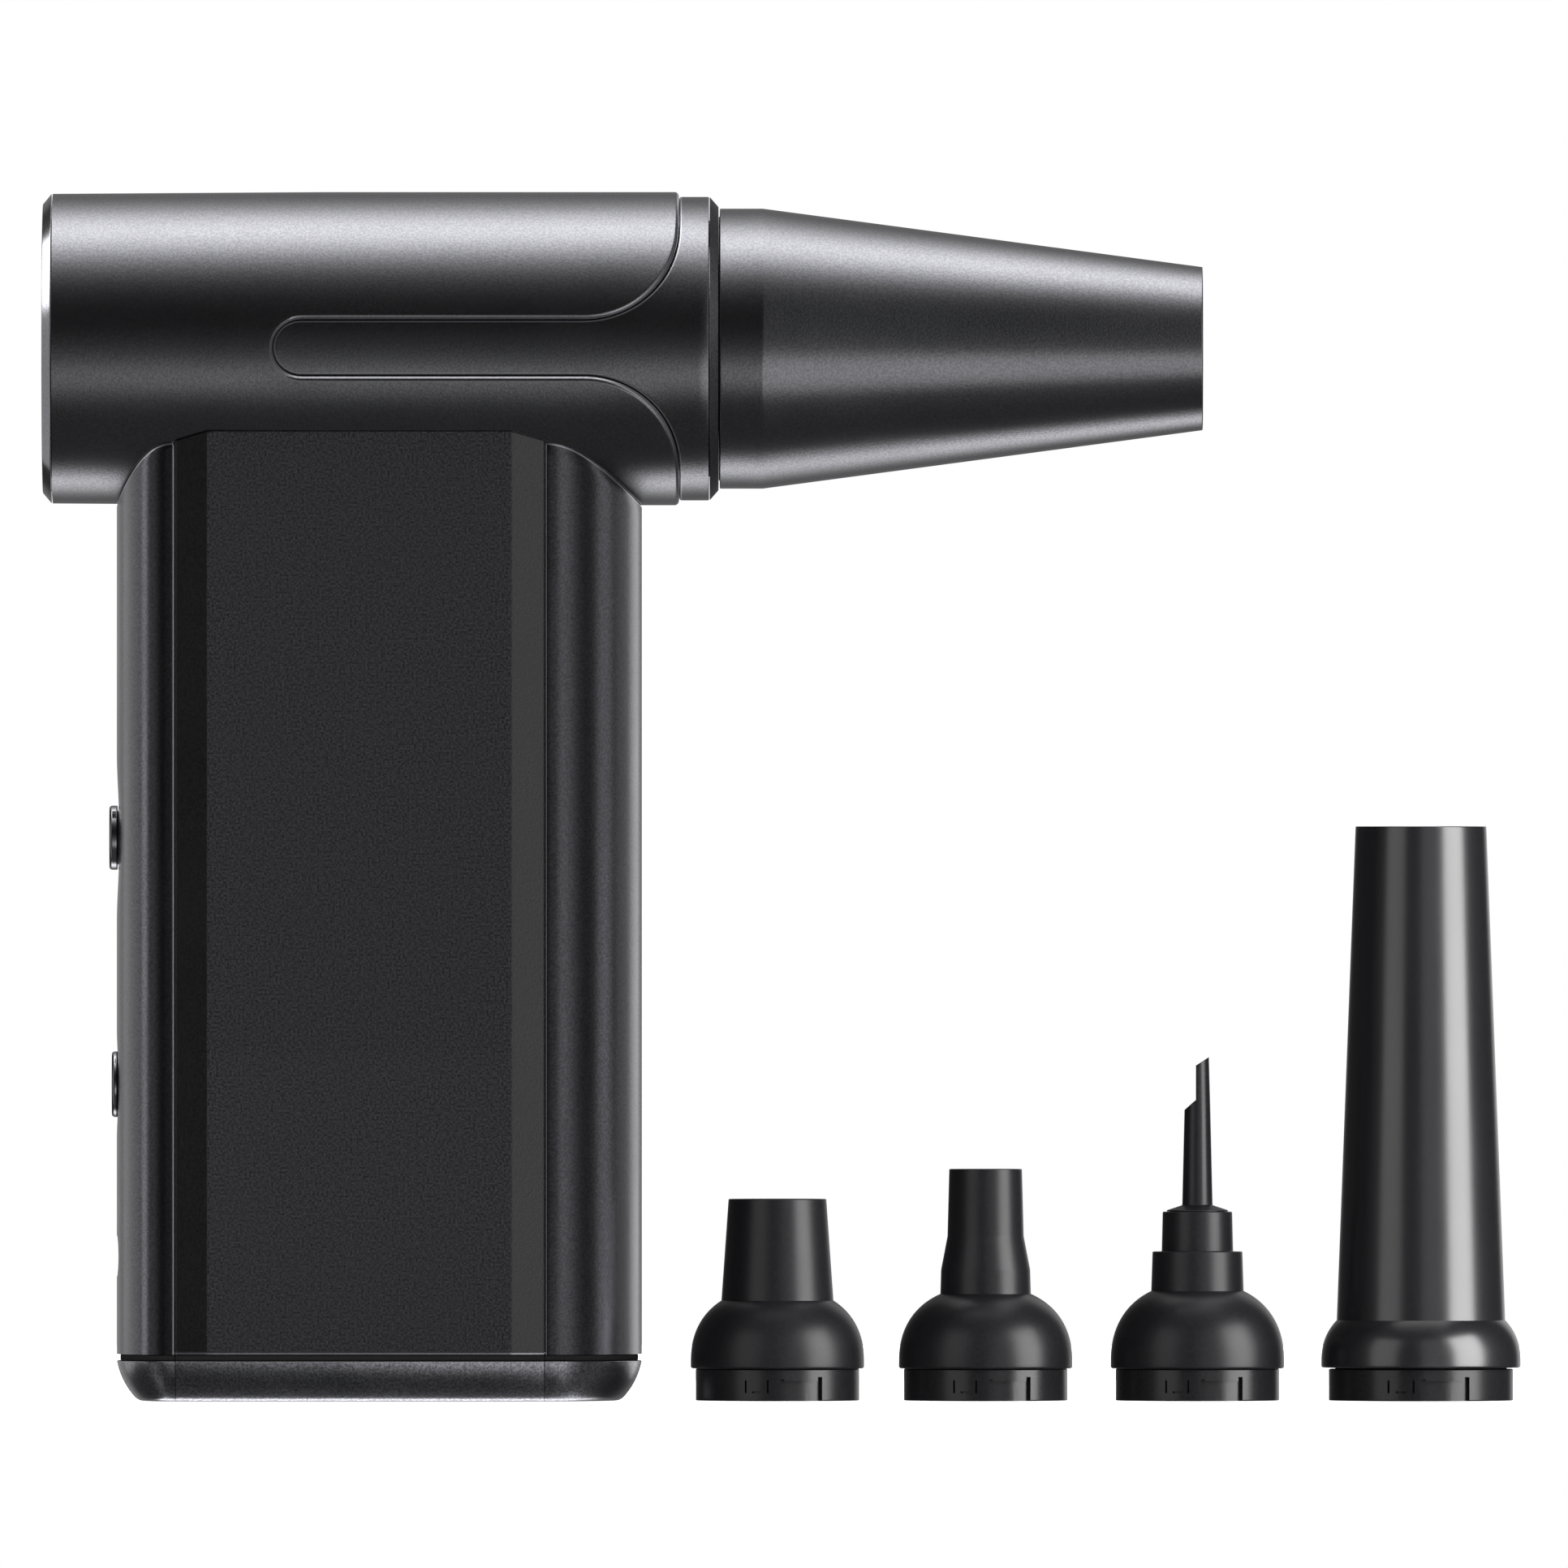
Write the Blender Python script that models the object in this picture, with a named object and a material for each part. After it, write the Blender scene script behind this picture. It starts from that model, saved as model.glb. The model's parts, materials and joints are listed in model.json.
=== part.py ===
"""Cordless car dryer blower with its four spare nozzles.

A turbo fan sits in a round barrel, which lies on an upright battery grip and carries a cone nozzle on a
bayonet. The barrel's axis runs along +X, the grip stands on the floor at Z = 0 and the origin is the centre
of the grip's base. Sizes are in millimetres and meshes in metres.
"""
import math

import bmesh
import bpy
from mathutils import Matrix, Vector

MM = 0.001
GAP = 0.3                 # clearance between pieces that touch
SEAM = 0.15               # half of the clearance at a tight visible seam
ROUND = 36                # facets round the barrel and its sleeves
MEDIUM = 20               # facets round the nozzles and the fan
SMALL = 10                # facets round screws, buttons and shafts

# Barrel, along the head axis
HEAD_Z = 144.0
SLEEVE_R, SLEEVE_REAR_R, SLEEVE_BORE_R = 21.44, 21.2, 19.6
SLEEVE_REAR_X, SLEEVE_FRONT_X = -44.7, 40.6
SLEEVE_TAPER_X = -7.5     # the sleeve is slightly slimmer behind this point
BARREL_R, BARREL_BORE_R = 19.3, 17.8
COLLAR_R, COLLAR_FRONT_X = 20.78, 45.28
HEAD_FRONT_X = 46.45
SOCKET_R, SOCKET_WALL_R, THROAT_R = 11.45, 12.9, 10.0
SOCKET_FLOOR_X = 41.2

# Tongue: the U-shaped field in each side of the sleeve
TONGUE_HALF = 4.4
TONGUE_REAR_X = -14.95
TONGUE_FLARE_X = 28.06
TONGUE_FLARE_R = 12.5

# Fan and motor
SHAFT_R, SHAFT_BORE_R = 1.0, 1.06
FAN_HUB_R, FAN_TIP_R, FAN_BLADES = 7.0, 16.8, 9
FAN_FRONT_X, FAN_REAR_X = -38.0, -26.0
CAN_R, CAN_WALL = 8.5, 0.7
CAN_X0, CAN_X1 = -24.0, 2.0
VANE_COUNT = 7
VANE_X0, VANE_X1 = -22.0, -8.0
STATOR_TEETH = 6

# Cone nozzle and bayonet
CONE_X0, CONE_SHOULDER_X, CONE_X1 = 46.7, 52.5, 112.72
CONE_R, CONE_TIP_R, CONE_WALL = 19.17, 11.17, 1.0
BORE_R, BORE_TIP_R, LINER_WALL = 9.9, 9.0, 0.85
RING_R, RING_LENGTH = 11.2, 4.2
LUG_COUNT, LUG_HALF = 3, 9.0            # degrees
LUG_X0, LUG_X1, LUG_TIP_R = 43.9, 45.1, 10.8
SLOT_FLOOR_R = 10.55
ENTRY_HALF, LOCK_END = 12.0, 31.5       # degrees
LOCK_DEPTH0, LOCK_DEPTH1 = 1.1, 2.9     # from the ring's open end

# Grip, plan in X and Y
GRIP_REAR_X, REAR_SEAM_X, REAR_EDGE_X = -35.94, -27.83, -23.39
FRONT_EDGE_X, FRONT_SEAM_X, GRIP_FRONT_X = 18.06, 22.72, 35.94
GRIP_HALF, SEAM_HALF, FACE_HALF = 17.2, 17.4, 18.3
REAR_POWER, FRONT_POWER = 2.4, 2.0      # exponents of the end curves
GRIP_WALL = 1.8
CURVE_STEPS = 12

# Grip, heights
CAP_TOP_Z, GASKET_Z0, GASKET_Z1, SHELL_Z0 = 5.5, 5.65, 6.25, 6.4
CAP_EDGE_R, CAP_TILT, CAP_FLOOR = 10.0, 10.0, 3.0      # the cap's side is an arc that starts tilted
FRAME_Z0, FRAME_Z1 = 6.7, 124.0
MID_PLATE_Z, TOP_PLATE_Z = 77.0, 116.0

# Buttons and charge port on the rear face
POWER_Z, POWER_R, POWER_PROUD = 77.05, 4.4, 1.0
SPEED_Z, SPEED_R, SPEED_PROUD = 43.3, 4.5, 0.67
RECESS_R, RECESS_DEPTH = 8.0, 0.3
PORT_Z, PORT_WIDTH, PORT_HEIGHT = 19.8, 8.94, 3.2

# Cells and boards
CELL_R, CELL_LENGTH, CELL_Z0 = 9.2, 65.0, 9.2
CELL_XS = (-13.8, 4.9, 23.6)
POCKET_R, HOLDER_R = 9.45, 10.1
BOARD_X, BOARD_THICK = -27.44, 1.2
LEAD_X, LEAD_R = 4.4, 0.75

# Screws, as their centres seen from above
NECK_SCREWS = [(-9.0, 0.0), (-2.5, 0.0)]
BASE_SCREWS = [(-22.0, -10.6), (-22.0, 10.6), (14.25, -10.6), (14.25, 10.6)]

# Spare nozzles, each with its centre on X
WIDE_X, ROUND_X, NEEDLE_X, LONG_X = 54.5, 83.0, 112.0, 142.6
BALL_R, BALL_FOOT_Z, BALL_Z, BALL_HEIGHT, BALL_POWER = 11.88, 4.5, 5.2, 10.45, 2.3
BALL_WALL = 1.2
LONG_RING_R, LONG_SKIRT_R = 12.62, 13.65

FINISHES = {                            # colour, roughness, metallic
    "anodised": ((0.055, 0.055, 0.062), 0.38, 0.9),
    "polished": ((0.16, 0.16, 0.17), 0.22, 1.0),
    "satin_grip": ((0.06, 0.06, 0.065), 0.45, 0.5),
    "soft_panel": ((0.028, 0.027, 0.032), 0.65, 0.0),
    "black_plastic": ((0.012, 0.012, 0.014), 0.32, 0.0),
    "chrome": ((0.75, 0.75, 0.77), 0.12, 1.0),
    "steel": ((0.5, 0.5, 0.52), 0.3, 1.0),
    "copper": ((0.72, 0.32, 0.16), 0.35, 1.0),
    "board": ((0.02, 0.12, 0.06), 0.5, 0.0),
    "cell_wrap": ((0.05, 0.16, 0.34), 0.4, 0.0),
    "rubber": ((0.015, 0.015, 0.016), 0.8, 0.0),
    "wire": ((0.35, 0.03, 0.02), 0.5, 0.0),
}


# ---------------------------------------------------------------- mesh tools

def circle(radius, steps):
    """Points of a circle, counter-clockwise."""
    turns = (2 * math.pi * step / steps for step in range(steps))
    return [(radius * math.cos(turn), radius * math.sin(turn)) for turn in turns]


def turned_into(bm, profile, steps=MEDIUM, frame=Matrix()):
    """Adds the solid that a closed loop of (radius, height) points makes round local Z."""
    rings = []
    for radius, height in profile:
        points = circle(radius, steps) if radius > 0 else [(0.0, 0.0)]
        rings.append([bm.verts.new(frame @ Vector((x, y, height)) * MM) for x, y in points])
    for lower, upper in zip(rings, rings[1:] + rings[:1]):
        if len(lower) == len(upper) == 1:
            continue
        for step in range(steps):
            after = (step + 1) % steps
            if len(lower) == 1:
                bm.faces.new((lower[0], upper[step], upper[after]))
            elif len(upper) == 1:
                bm.faces.new((lower[step], lower[after], upper[0]))
            else:
                bm.faces.new((lower[step], lower[after], upper[after], upper[step]))


def prism_into(bm, outline, low, high, frame=Matrix()):
    """Adds an outline in local XY, filled and extruded along local Z."""
    rims = [[bm.verts.new(frame @ Vector((x, y, z)) * MM) for x, y in outline] for z in (low, high)]
    for rim in rims:
        bm.faces.new(rim)
    bridge(bm, rims, closed=True)


def bridge(bm, rims, closed):
    """Joins each pair of neighbouring rims with a strip of quads."""
    count = len(rims[0])
    for first, second in zip(rims, rims[1:]):
        for index in range(count if closed else count - 1):
            after = (index + 1) % count
            bm.faces.new((first[index], first[after], second[after], second[index]))


def ribbon_into(bm, outer, inner, low, high, closed, frame=Matrix()):
    """Adds the wall between two outlines with equally many points, extruded along local Z."""
    corners = [(outer, low), (outer, high), (inner, high), (inner, low)]
    rims = [[bm.verts.new(frame @ Vector((x, y, z)) * MM) for x, y in line] for line, z in corners]
    bridge(bm, rims + rims[:1], closed)
    if not closed:
        bm.faces.new([rim[0] for rim in rims])
        bm.faces.new([rim[-1] for rim in rims])


def box_into(bm, low, high, frame=Matrix()):
    """Adds a box between two corners."""
    outline = [(low[0], low[1]), (high[0], low[1]), (high[0], high[1]), (low[0], high[1])]
    prism_into(bm, outline, low[2], high[2], frame)


def sector_into(bm, inner_r, outer_r, start, end, low, high, steps=6):
    """Adds a piece of a ring between two angles in degrees."""
    turns = [math.radians(start + (end - start) * step / steps) for step in range(steps + 1)]
    outer = [(outer_r * math.cos(turn), outer_r * math.sin(turn)) for turn in turns]
    inner = [(inner_r * math.cos(turn), inner_r * math.sin(turn)) for turn in turns]
    ribbon_into(bm, outer, inner, low, high, closed=False)


def blade_into(bm, turn, inner_r, outer_r, centre, chord, root_pitch, tip_pitch, thick, stations=3):
    """Adds one twisted blade round local Z; pitch is the chord's angle from Z in degrees."""
    rims = []
    for station in range(stations):
        share = station / (stations - 1)
        radius = inner_r + (outer_r - inner_r) * share
        pitch = math.radians(root_pitch + (tip_pitch - root_pitch) * share)
        along = Vector((0, math.sin(pitch), math.cos(pitch))) * chord / 2
        across = Vector((0, math.cos(pitch), -math.sin(pitch))) * thick / 2
        middle = Vector((radius, 0, centre))
        spin = Matrix.Rotation(turn, 4, "Z")
        corners = (along + across, -along + across, -along - across, along - across)
        rims.append([bm.verts.new(spin @ (middle + corner) * MM) for corner in corners])
    bridge(bm, rims, closed=True)
    bm.faces.new(rims[0])
    bm.faces.new(rims[-1])


def make_object(name, bm, finish=None, parent=None):
    """Turns a bmesh into a named object with its own material; without a finish it is a cutter."""
    bmesh.ops.recalc_face_normals(bm, faces=bm.faces)
    mesh = bpy.data.meshes.new(name)
    bm.to_mesh(mesh)
    bm.free()
    mesh.shade_smooth()
    mesh.set_sharp_from_angle(angle=math.radians(28))
    made = bpy.data.objects.new(name, mesh)
    bpy.context.collection.objects.link(made)
    made.parent = parent
    if finish:
        mesh.materials.append(make_material(name, finish))
    else:
        made.hide_render = True
        made.display_type = "WIRE"
    return made


def make_material(name, finish):
    """One Principled material for one sub-part."""
    colour, roughness, metallic = FINISHES[finish]
    made = bpy.data.materials.new(f"{name}_{finish}")
    made.use_nodes = True
    shader = made.node_tree.nodes["Principled BSDF"]
    shader.inputs["Base Color"].default_value = (*colour, 1.0)
    shader.inputs["Roughness"].default_value = roughness
    shader.inputs["Metallic"].default_value = metallic
    return made


def combine(target, other, operation, solver="EXACT"):
    """Leaves a live Boolean on the target; MANIFOLD is for cuts that graze a curved wall."""
    modifier = target.modifiers.new(other.name, "BOOLEAN")
    modifier.operation = operation
    modifier.solver = solver
    modifier.object = other


def turned(name, profile, finish=None, parent=None, steps=MEDIUM):
    bm = bmesh.new()
    turned_into(bm, profile, steps)
    return make_object(name, bm, finish, parent)


def tube(name, outer_r, inner_r, low, high, finish=None, parent=None, steps=MEDIUM):
    profile = [(outer_r, low), (outer_r, high), (inner_r, high), (inner_r, low)]
    return turned(name, profile, finish, parent, steps)


def boxes(name, corners, finish=None, parent=None):
    bm = bmesh.new()
    for low, high in corners:
        box_into(bm, low, high)
    return make_object(name, bm, finish, parent)


def rods(name, centres, radius, low, high, finish=None, parent=None, steps=SMALL):
    bm = bmesh.new()
    for x, y in centres:
        turned_into(bm, [(0, low), (radius, low), (radius, high), (0, high)], steps,
                    Matrix.Translation((x, y, 0)))
    return make_object(name, bm, finish, parent)


def make_axis(name, place, along_x=False):
    """An empty on a joint's axis; with along_x its local Z points along the world's +X."""
    empty = bpy.data.objects.new(name, None)
    empty.location = Vector(place) * MM
    if along_x:
        empty.rotation_euler = (0, math.pi / 2, 0)
    bpy.context.collection.objects.link(empty)
    return empty


# ---------------------------------------------------------------- outlines

def end_curve(seam_x, depth, half, power, inset, forward):
    """One rounded end of the grip's plan, from one seam to the other."""
    points = []
    for step in range(CURVE_STEPS + 1):
        turn = math.pi * step / CURVE_STEPS - math.pi / 2
        reach = math.cos(turn) ** (2 / power) if 0 < step < CURVE_STEPS else 0.0
        side = math.copysign(abs(math.sin(turn)) ** (2 / power), math.sin(turn))
        points.append((seam_x + forward * (depth - inset) * reach, forward * (half - inset) * side))
    return points


def front_curve(inset=0.0):
    return end_curve(FRONT_SEAM_X, GRIP_FRONT_X - FRONT_SEAM_X, GRIP_HALF, FRONT_POWER, inset, 1)


def rear_curve(inset=0.0):
    return end_curve(REAR_SEAM_X, REAR_SEAM_X - GRIP_REAR_X, GRIP_HALF, REAR_POWER, inset, -1)


def grip_outline(inset):
    """The whole plan of the grip, counter-clockwise, moved inwards by inset."""
    face = FACE_HALF - inset
    return (front_curve(inset) + [(FRONT_EDGE_X, face), (REAR_EDGE_X, face)]
            + rear_curve(inset) + [(REAR_EDGE_X, -face), (FRONT_EDGE_X, -face)])


def tongue_outline(inset):
    """U-shaped field seen from the side: X along the barrel, Y up from its axis, open to the front."""
    half = TONGUE_HALF - inset
    nose_x = TONGUE_REAR_X + TONGUE_HALF
    flare_z = TONGUE_HALF + TONGUE_FLARE_R
    flare = []
    for step in range(9):
        turn = math.radians(90 * step / 8)
        reach = TONGUE_FLARE_R + inset
        flare.append((TONGUE_FLARE_X + reach * math.sin(turn), flare_z - reach * math.cos(turn)))
    past_front = (SLEEVE_FRONT_X + 2, flare_z)
    upper = [(nose_x, half)] + flare + [past_front]
    nose = []
    for step in range(1, 12):
        turn = math.radians(90 + 180 * step / 12)
        nose.append((nose_x + half * math.cos(turn), half * math.sin(turn)))
    lower = [(x, -z) for x, z in reversed(upper)]
    return upper + lower + list(reversed(nose))


def stadium(half_length, radius, steps=5):
    """Slot outline: two half circles joined by straight sides along X."""
    ends = []
    for centre, start in ((half_length - radius, -90), (radius - half_length, 90)):
        for step in range(steps + 1):
            turn = math.radians(start + 180 * step / steps)
            ends.append((centre + radius * math.cos(turn), radius * math.sin(turn)))
    return ends


def ball_profile(radius, foot_z, start_z, neck_r, steps=3):
    """Bulging shoulder of a nozzle: a superellipse from its widest band in to a neck radius."""
    rise = BALL_HEIGHT * (1 - (neck_r / radius) ** BALL_POWER) ** (1 / BALL_POWER)
    points = [(radius, foot_z)]
    for step in range(steps + 1):
        share = math.sin(math.pi / 2 * step / steps)
        height = rise * share
        width = radius * (1 - (height / BALL_HEIGHT) ** BALL_POWER) ** (1 / BALL_POWER)
        points.append((width, start_z + height))
    return points


# ---------------------------------------------------------------- barrel

def side_field_cutter(name, inset, head):
    """Both U-shaped fields as prisms that reach through the barrel's two sides."""
    bm = bmesh.new()
    to_side = Matrix.Rotation(math.pi / 2, 4, "X")
    for low, high in ((8, 30), (-30, -8)):
        prism_into(bm, tongue_outline(inset), low, high, Matrix.Rotation(-math.pi / 2, 4, "Y") @ to_side)
    return make_object(name, bm, None, head)


def make_outer_sleeve(head):
    profile = [(SLEEVE_REAR_R, SLEEVE_REAR_X), (SLEEVE_R, SLEEVE_TAPER_X), (SLEEVE_R, SLEEVE_FRONT_X),
               (SLEEVE_BORE_R, SLEEVE_FRONT_X), (SLEEVE_BORE_R, SLEEVE_REAR_X)]
    sleeve = turned("outer_sleeve", profile, "anodised", head, ROUND)
    combine(sleeve, side_field_cutter("cut_side_fields", 0.0, head), "DIFFERENCE")
    opening = boxes("cut_neck_opening", [((-12.5, -7.5, 118), (8.5, 7.5, 127))])
    combine(sleeve, opening, "DIFFERENCE")


def make_inner_barrel(head):
    rear_x = SLEEVE_REAR_X + GAP
    barrel = tube("inner_barrel", COLLAR_R, BARREL_BORE_R, rear_x, COLLAR_FRONT_X - SEAM,
                  "anodised", head, ROUND)
    relief = tube("cut_under_sleeve", SLEEVE_R + 2, BARREL_R, rear_x - 2, SLEEVE_FRONT_X + GAP,
                  None, head, ROUND)
    combine(relief, side_field_cutter("keep_tongues", GAP, head), "DIFFERENCE")
    combine(barrel, relief, "DIFFERENCE")
    combine(barrel, boxes("cut_lead_slot", [((2.0, -4.0, 121), (6.8, 4.0, 128))]), "DIFFERENCE")
    combine(barrel, rods("cut_neck_screw_holes", NECK_SCREWS, 1.35, 123, 128), "DIFFERENCE")


def make_end_rings(head):
    rear = SLEEVE_REAR_X - SEAM
    intake = [(19.85, -46.06), (SLEEVE_REAR_R, rear), (17.5, rear), (17.5, -41.5),
              (16.3, -41.5), (16.3, -45.4), (17.2, -46.06)]
    turned("intake_ring", intake, "polished", head, ROUND)
    collar = [(COLLAR_R, COLLAR_FRONT_X), (COLLAR_R - 1.4, HEAD_FRONT_X), (13.2, HEAD_FRONT_X),
              (13.2, 45.3), (16.3, 45.3), (16.3, 43.4), (17.5, 43.4), (17.5, COLLAR_FRONT_X)]
    turned("collar_ring", collar, "polished", head, ROUND)


def make_intake_grille(head):
    low, high = -45.2, -44.2
    grille = tube("intake_grille", 16.0, 14.9, low, high, "anodised", head)
    for index, radius in enumerate((10.8, 6.2)):
        ring = tube(f"add_grille_ring_{index}", radius, radius - 1.0, low, high, None, head)
        combine(grille, ring, "UNION")
    bm = bmesh.new()
    for spoke in range(3):
        spin = Matrix.Rotation(math.pi * spoke / 3 + 0.08, 4, "Z")
        for side in (1, -1):
            box_into(bm, (5.6 * side, -0.45, low + 0.1), (15.4 * side, 0.45, high - 0.1), spin)
    combine(grille, make_object("add_grille_spokes", bm, None, head), "UNION")
    middle = turned("add_grille_hub", [(0, low), (2.4, low), (2.4, high), (0, high)], None, head, SMALL)
    combine(grille, middle, "UNION")
    cross = boxes("add_grille_cross", [((-5.6, -0.45, low + 0.1), (5.6, 0.45, high - 0.1))], None, head)
    combine(grille, cross, "UNION")


# ---------------------------------------------------------------- fan and motor

def make_fan(head):
    hub = turned("impeller", [(0, -40.5), (2.8, -40.2), (5.2, -39.2), (FAN_HUB_R, FAN_FRONT_X + 1),
                              (FAN_HUB_R, FAN_REAR_X), (6.2, FAN_REAR_X), (6.2, -34), (2.5, -34),
                              (2.5, -26.5), (SHAFT_BORE_R, -26.5), (SHAFT_BORE_R, -37), (0, -37)],
                 "black_plastic", head)
    bm = bmesh.new()
    for blade in range(FAN_BLADES):
        blade_into(bm, 2 * math.pi * blade / FAN_BLADES, FAN_HUB_R - 0.5, FAN_TIP_R, -31.6, 9.5, 32, 58, 0.9)
    combine(hub, make_object("add_blades", bm, None, head), "UNION")
    turned("motor_shaft", [(0, -36.7), (SHAFT_R, -36.7), (SHAFT_R, 1.6), (0, 1.6)], "steel", head, SMALL)
    tube("rotor_magnet", 3.0, SHAFT_BORE_R, -18.5, -3.5, "steel", head, SMALL)


def make_motor(head):
    plate = 1.2
    bore = CAN_R - CAN_WALL
    bearing_r, hole_r = 3.0, 3.3
    can = [(CAN_R, CAN_X0), (CAN_R, CAN_X1), (hole_r, CAN_X1), (hole_r, CAN_X1 - plate),
           (bore, CAN_X1 - plate), (bore, CAN_X0 + plate), (hole_r, CAN_X0 + plate), (hole_r, CAN_X0)]
    turned("motor_can", can, "steel", head)
    tube("front_bearing", bearing_r, SHAFT_BORE_R, CAN_X0, CAN_X0 + 2, "steel", head, SMALL)
    tube("rear_bearing", bearing_r, SHAFT_BORE_R, CAN_X1 - 2, CAN_X1, "steel", head, SMALL)
    make_stator(head)


def make_stator(head):
    tooth_r, slot_r = 3.5, 5.8
    steps = 6 * STATOR_TEETH
    inner = []
    for step, (x, y) in enumerate(circle(1.0, steps)):
        radius = tooth_r if step % 6 in (0, 1) else slot_r
        inner.append((radius * x, radius * y))
    bm = bmesh.new()
    ribbon_into(bm, circle(7.5, steps), inner, -18, -4, closed=True)
    make_object("stator_core", bm, "steel", head)
    bm = bmesh.new()
    for slot in range(STATOR_TEETH):
        start = 360 / STATOR_TEETH * slot
        sector_into(bm, 3.7, 5.45, start + 20, start + 50, -19, -2.9, 2)
    windings = tube("stator_windings", 5.3, 3.85, -3.4, -2.3, "copper", head)
    combine(windings, make_object("add_slot_coils", bm, None, head), "UNION")


def make_guide_vanes(head):
    ring = tube("guide_vane_ring", 17.5, 16.7, VANE_X0, VANE_X1, "black_plastic", head)
    combine(ring, tube("add_vane_hub", 9.8, CAN_R + GAP, VANE_X0, VANE_X1, None, head), "UNION")
    bm = bmesh.new()
    for vane in range(VANE_COUNT):
        blade_into(bm, 2 * math.pi * vane / VANE_COUNT, 9.4, 17.1, -15, 10, -24, -30, 0.9)
    combine(ring, make_object("add_vanes", bm, None, head), "UNION")


def make_duct(head):
    cone = [(CAN_R, 2.3), (CAN_R, 6), (7.4, 11), (5, 16), (0, 20), (0, 18.6), (4.2, 15.2), (6.5, 10.6),
            (7.6, 6), (7.6, 2.3)]
    tail = turned("tail_cone", cone, "black_plastic", head)
    combine(tail, boxes("cut_tail_leads", [((1.9, -4.2, 133), (6.2, 4.2, 139.5))]), "DIFFERENCE")
    funnel = [(17.5, 8), (17.5, 10), (SOCKET_WALL_R, 35), (SOCKET_WALL_R, 46.3), (SOCKET_R, 46.3),
              (SOCKET_R, SOCKET_FLOOR_X), (THROAT_R, SOCKET_FLOOR_X), (THROAT_R, 34), (16.8, 9.5),
              (16.8, 8)]
    reducer = turned("flow_reducer", funnel, "black_plastic", head)
    bm = bmesh.new()
    for lug in range(LUG_COUNT):
        middle = 360 / LUG_COUNT * lug
        sector_into(bm, LUG_TIP_R, SOCKET_R + 0.7, middle - LUG_HALF, middle + LUG_HALF, LUG_X0, LUG_X1, 2)
    combine(reducer, make_object("add_lugs", bm, None, head), "UNION")
    tube("outlet_seal", 11.1, BORE_R + 0.2, SOCKET_FLOOR_X + 0.15, SOCKET_FLOOR_X + 1.0, "rubber", head)


# ---------------------------------------------------------------- cone nozzle and bayonet rings

def bayonet_slots(target, mouth, into, floor_r, open_r, parent, turn_way=1):
    """Cuts the L-shaped slots of a bayonet ring; mouth is its open end, into (+1 or -1) leads inwards."""
    for label, start, end, near, far in (("entry", -ENTRY_HALF, ENTRY_HALF, -1.0, LOCK_DEPTH1),
                                         ("lock", ENTRY_HALF - 3, LOCK_END, LOCK_DEPTH0, LOCK_DEPTH1)):
        bm = bmesh.new()
        low, high = sorted((mouth + into * near, mouth + into * far))
        for slot in range(LUG_COUNT):
            middle = 360 / LUG_COUNT * slot
            angles = sorted((middle + turn_way * start, middle + turn_way * end))
            sector_into(bm, floor_r, open_r, angles[0], angles[1], low, high, 2)
        combine(target, make_object(f"cut_{label}_{target.name}", bm, None, parent), "DIFFERENCE")


def make_cone(nozzle):
    """Outer skin with an inner liner, which carries the bayonet ring at the back."""
    def skin_r(x):
        share = max(0.0, (x - CONE_SHOULDER_X) / (CONE_X1 - CONE_SHOULDER_X))
        return CONE_R + (CONE_TIP_R - CONE_R) * share
    skin = [(CONE_R, CONE_X0), (CONE_R, CONE_SHOULDER_X), (CONE_TIP_R, CONE_X1),
            (CONE_TIP_R - CONE_WALL, CONE_X1), (CONE_R - CONE_WALL, CONE_SHOULDER_X),
            (CONE_R - CONE_WALL, CONE_X0)]
    turned("cone_shell", skin, "anodised", nozzle, ROUND)
    flange_r = CONE_R - CONE_WALL - GAP
    tip_x = CONE_X1 - 0.4
    tip_r = skin_r(tip_x) - CONE_WALL - GAP
    mouth_x = CONE_X0 - RING_LENGTH
    liner = [(RING_R, mouth_x), (RING_R, CONE_X0), (flange_r, CONE_X0), (flange_r, CONE_X0 + 1.6),
             (BORE_R + LINER_WALL, CONE_X0 + 3.0), (tip_r, tip_x - 6), (tip_r, tip_x),
             (BORE_TIP_R, tip_x), (BORE_R, CONE_X0 + 3.0), (BORE_R, mouth_x)]
    made = turned("cone_liner", liner, "black_plastic", nozzle, ROUND)
    bayonet_slots(made, mouth_x, 1, SLOT_FLOOR_R, RING_R + 2, nozzle)


def spare_ring(name, ring_r, axis):
    """Bayonet ring under a spare nozzle: a slotted skirt with a spigot up into the nozzle."""
    spigot_r = ring_r - 0.6
    profile = [(ring_r - 0.25, 0), (ring_r, 0.3), (ring_r, 4.35), (spigot_r - 0.3, 4.35),
               (spigot_r - 0.3, 7.0), (ring_r - 1.3, 7.0), (ring_r - 1.3, 0)]
    ring = turned(name, profile, "black_plastic", axis)
    bayonet_slots(ring, 0.0, 1, ring_r - 0.65, ring_r + 2, axis, -1)


def spare_nozzle(name, axis, shoulder, spout, wall=0.95):
    """Spare nozzle: bulging shoulder and a spout of (radius, height) points, hollow all the way."""
    ball_r, foot_z, ball_z = shoulder
    neck_r = spout[0][0]
    outer = ball_profile(ball_r, foot_z, ball_z, neck_r)
    inner = ball_profile(ball_r - BALL_WALL, foot_z, ball_z, neck_r - wall)
    neck_z = outer[-1][1]
    stack = [(radius, max(height, neck_z + 0.05)) for radius, height in spout]
    cavity = [(radius - wall, height - (wall if 0 < index < len(stack) - 1 else 0))
              for index, (radius, height) in enumerate(stack)][1:]
    if abs(stack[0][0] - outer[-1][0]) < 0.01:
        stack = stack[1:]
    profile = outer + stack + list(reversed(cavity)) + list(reversed(inner))
    turned(name, profile, "black_plastic", axis)


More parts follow.
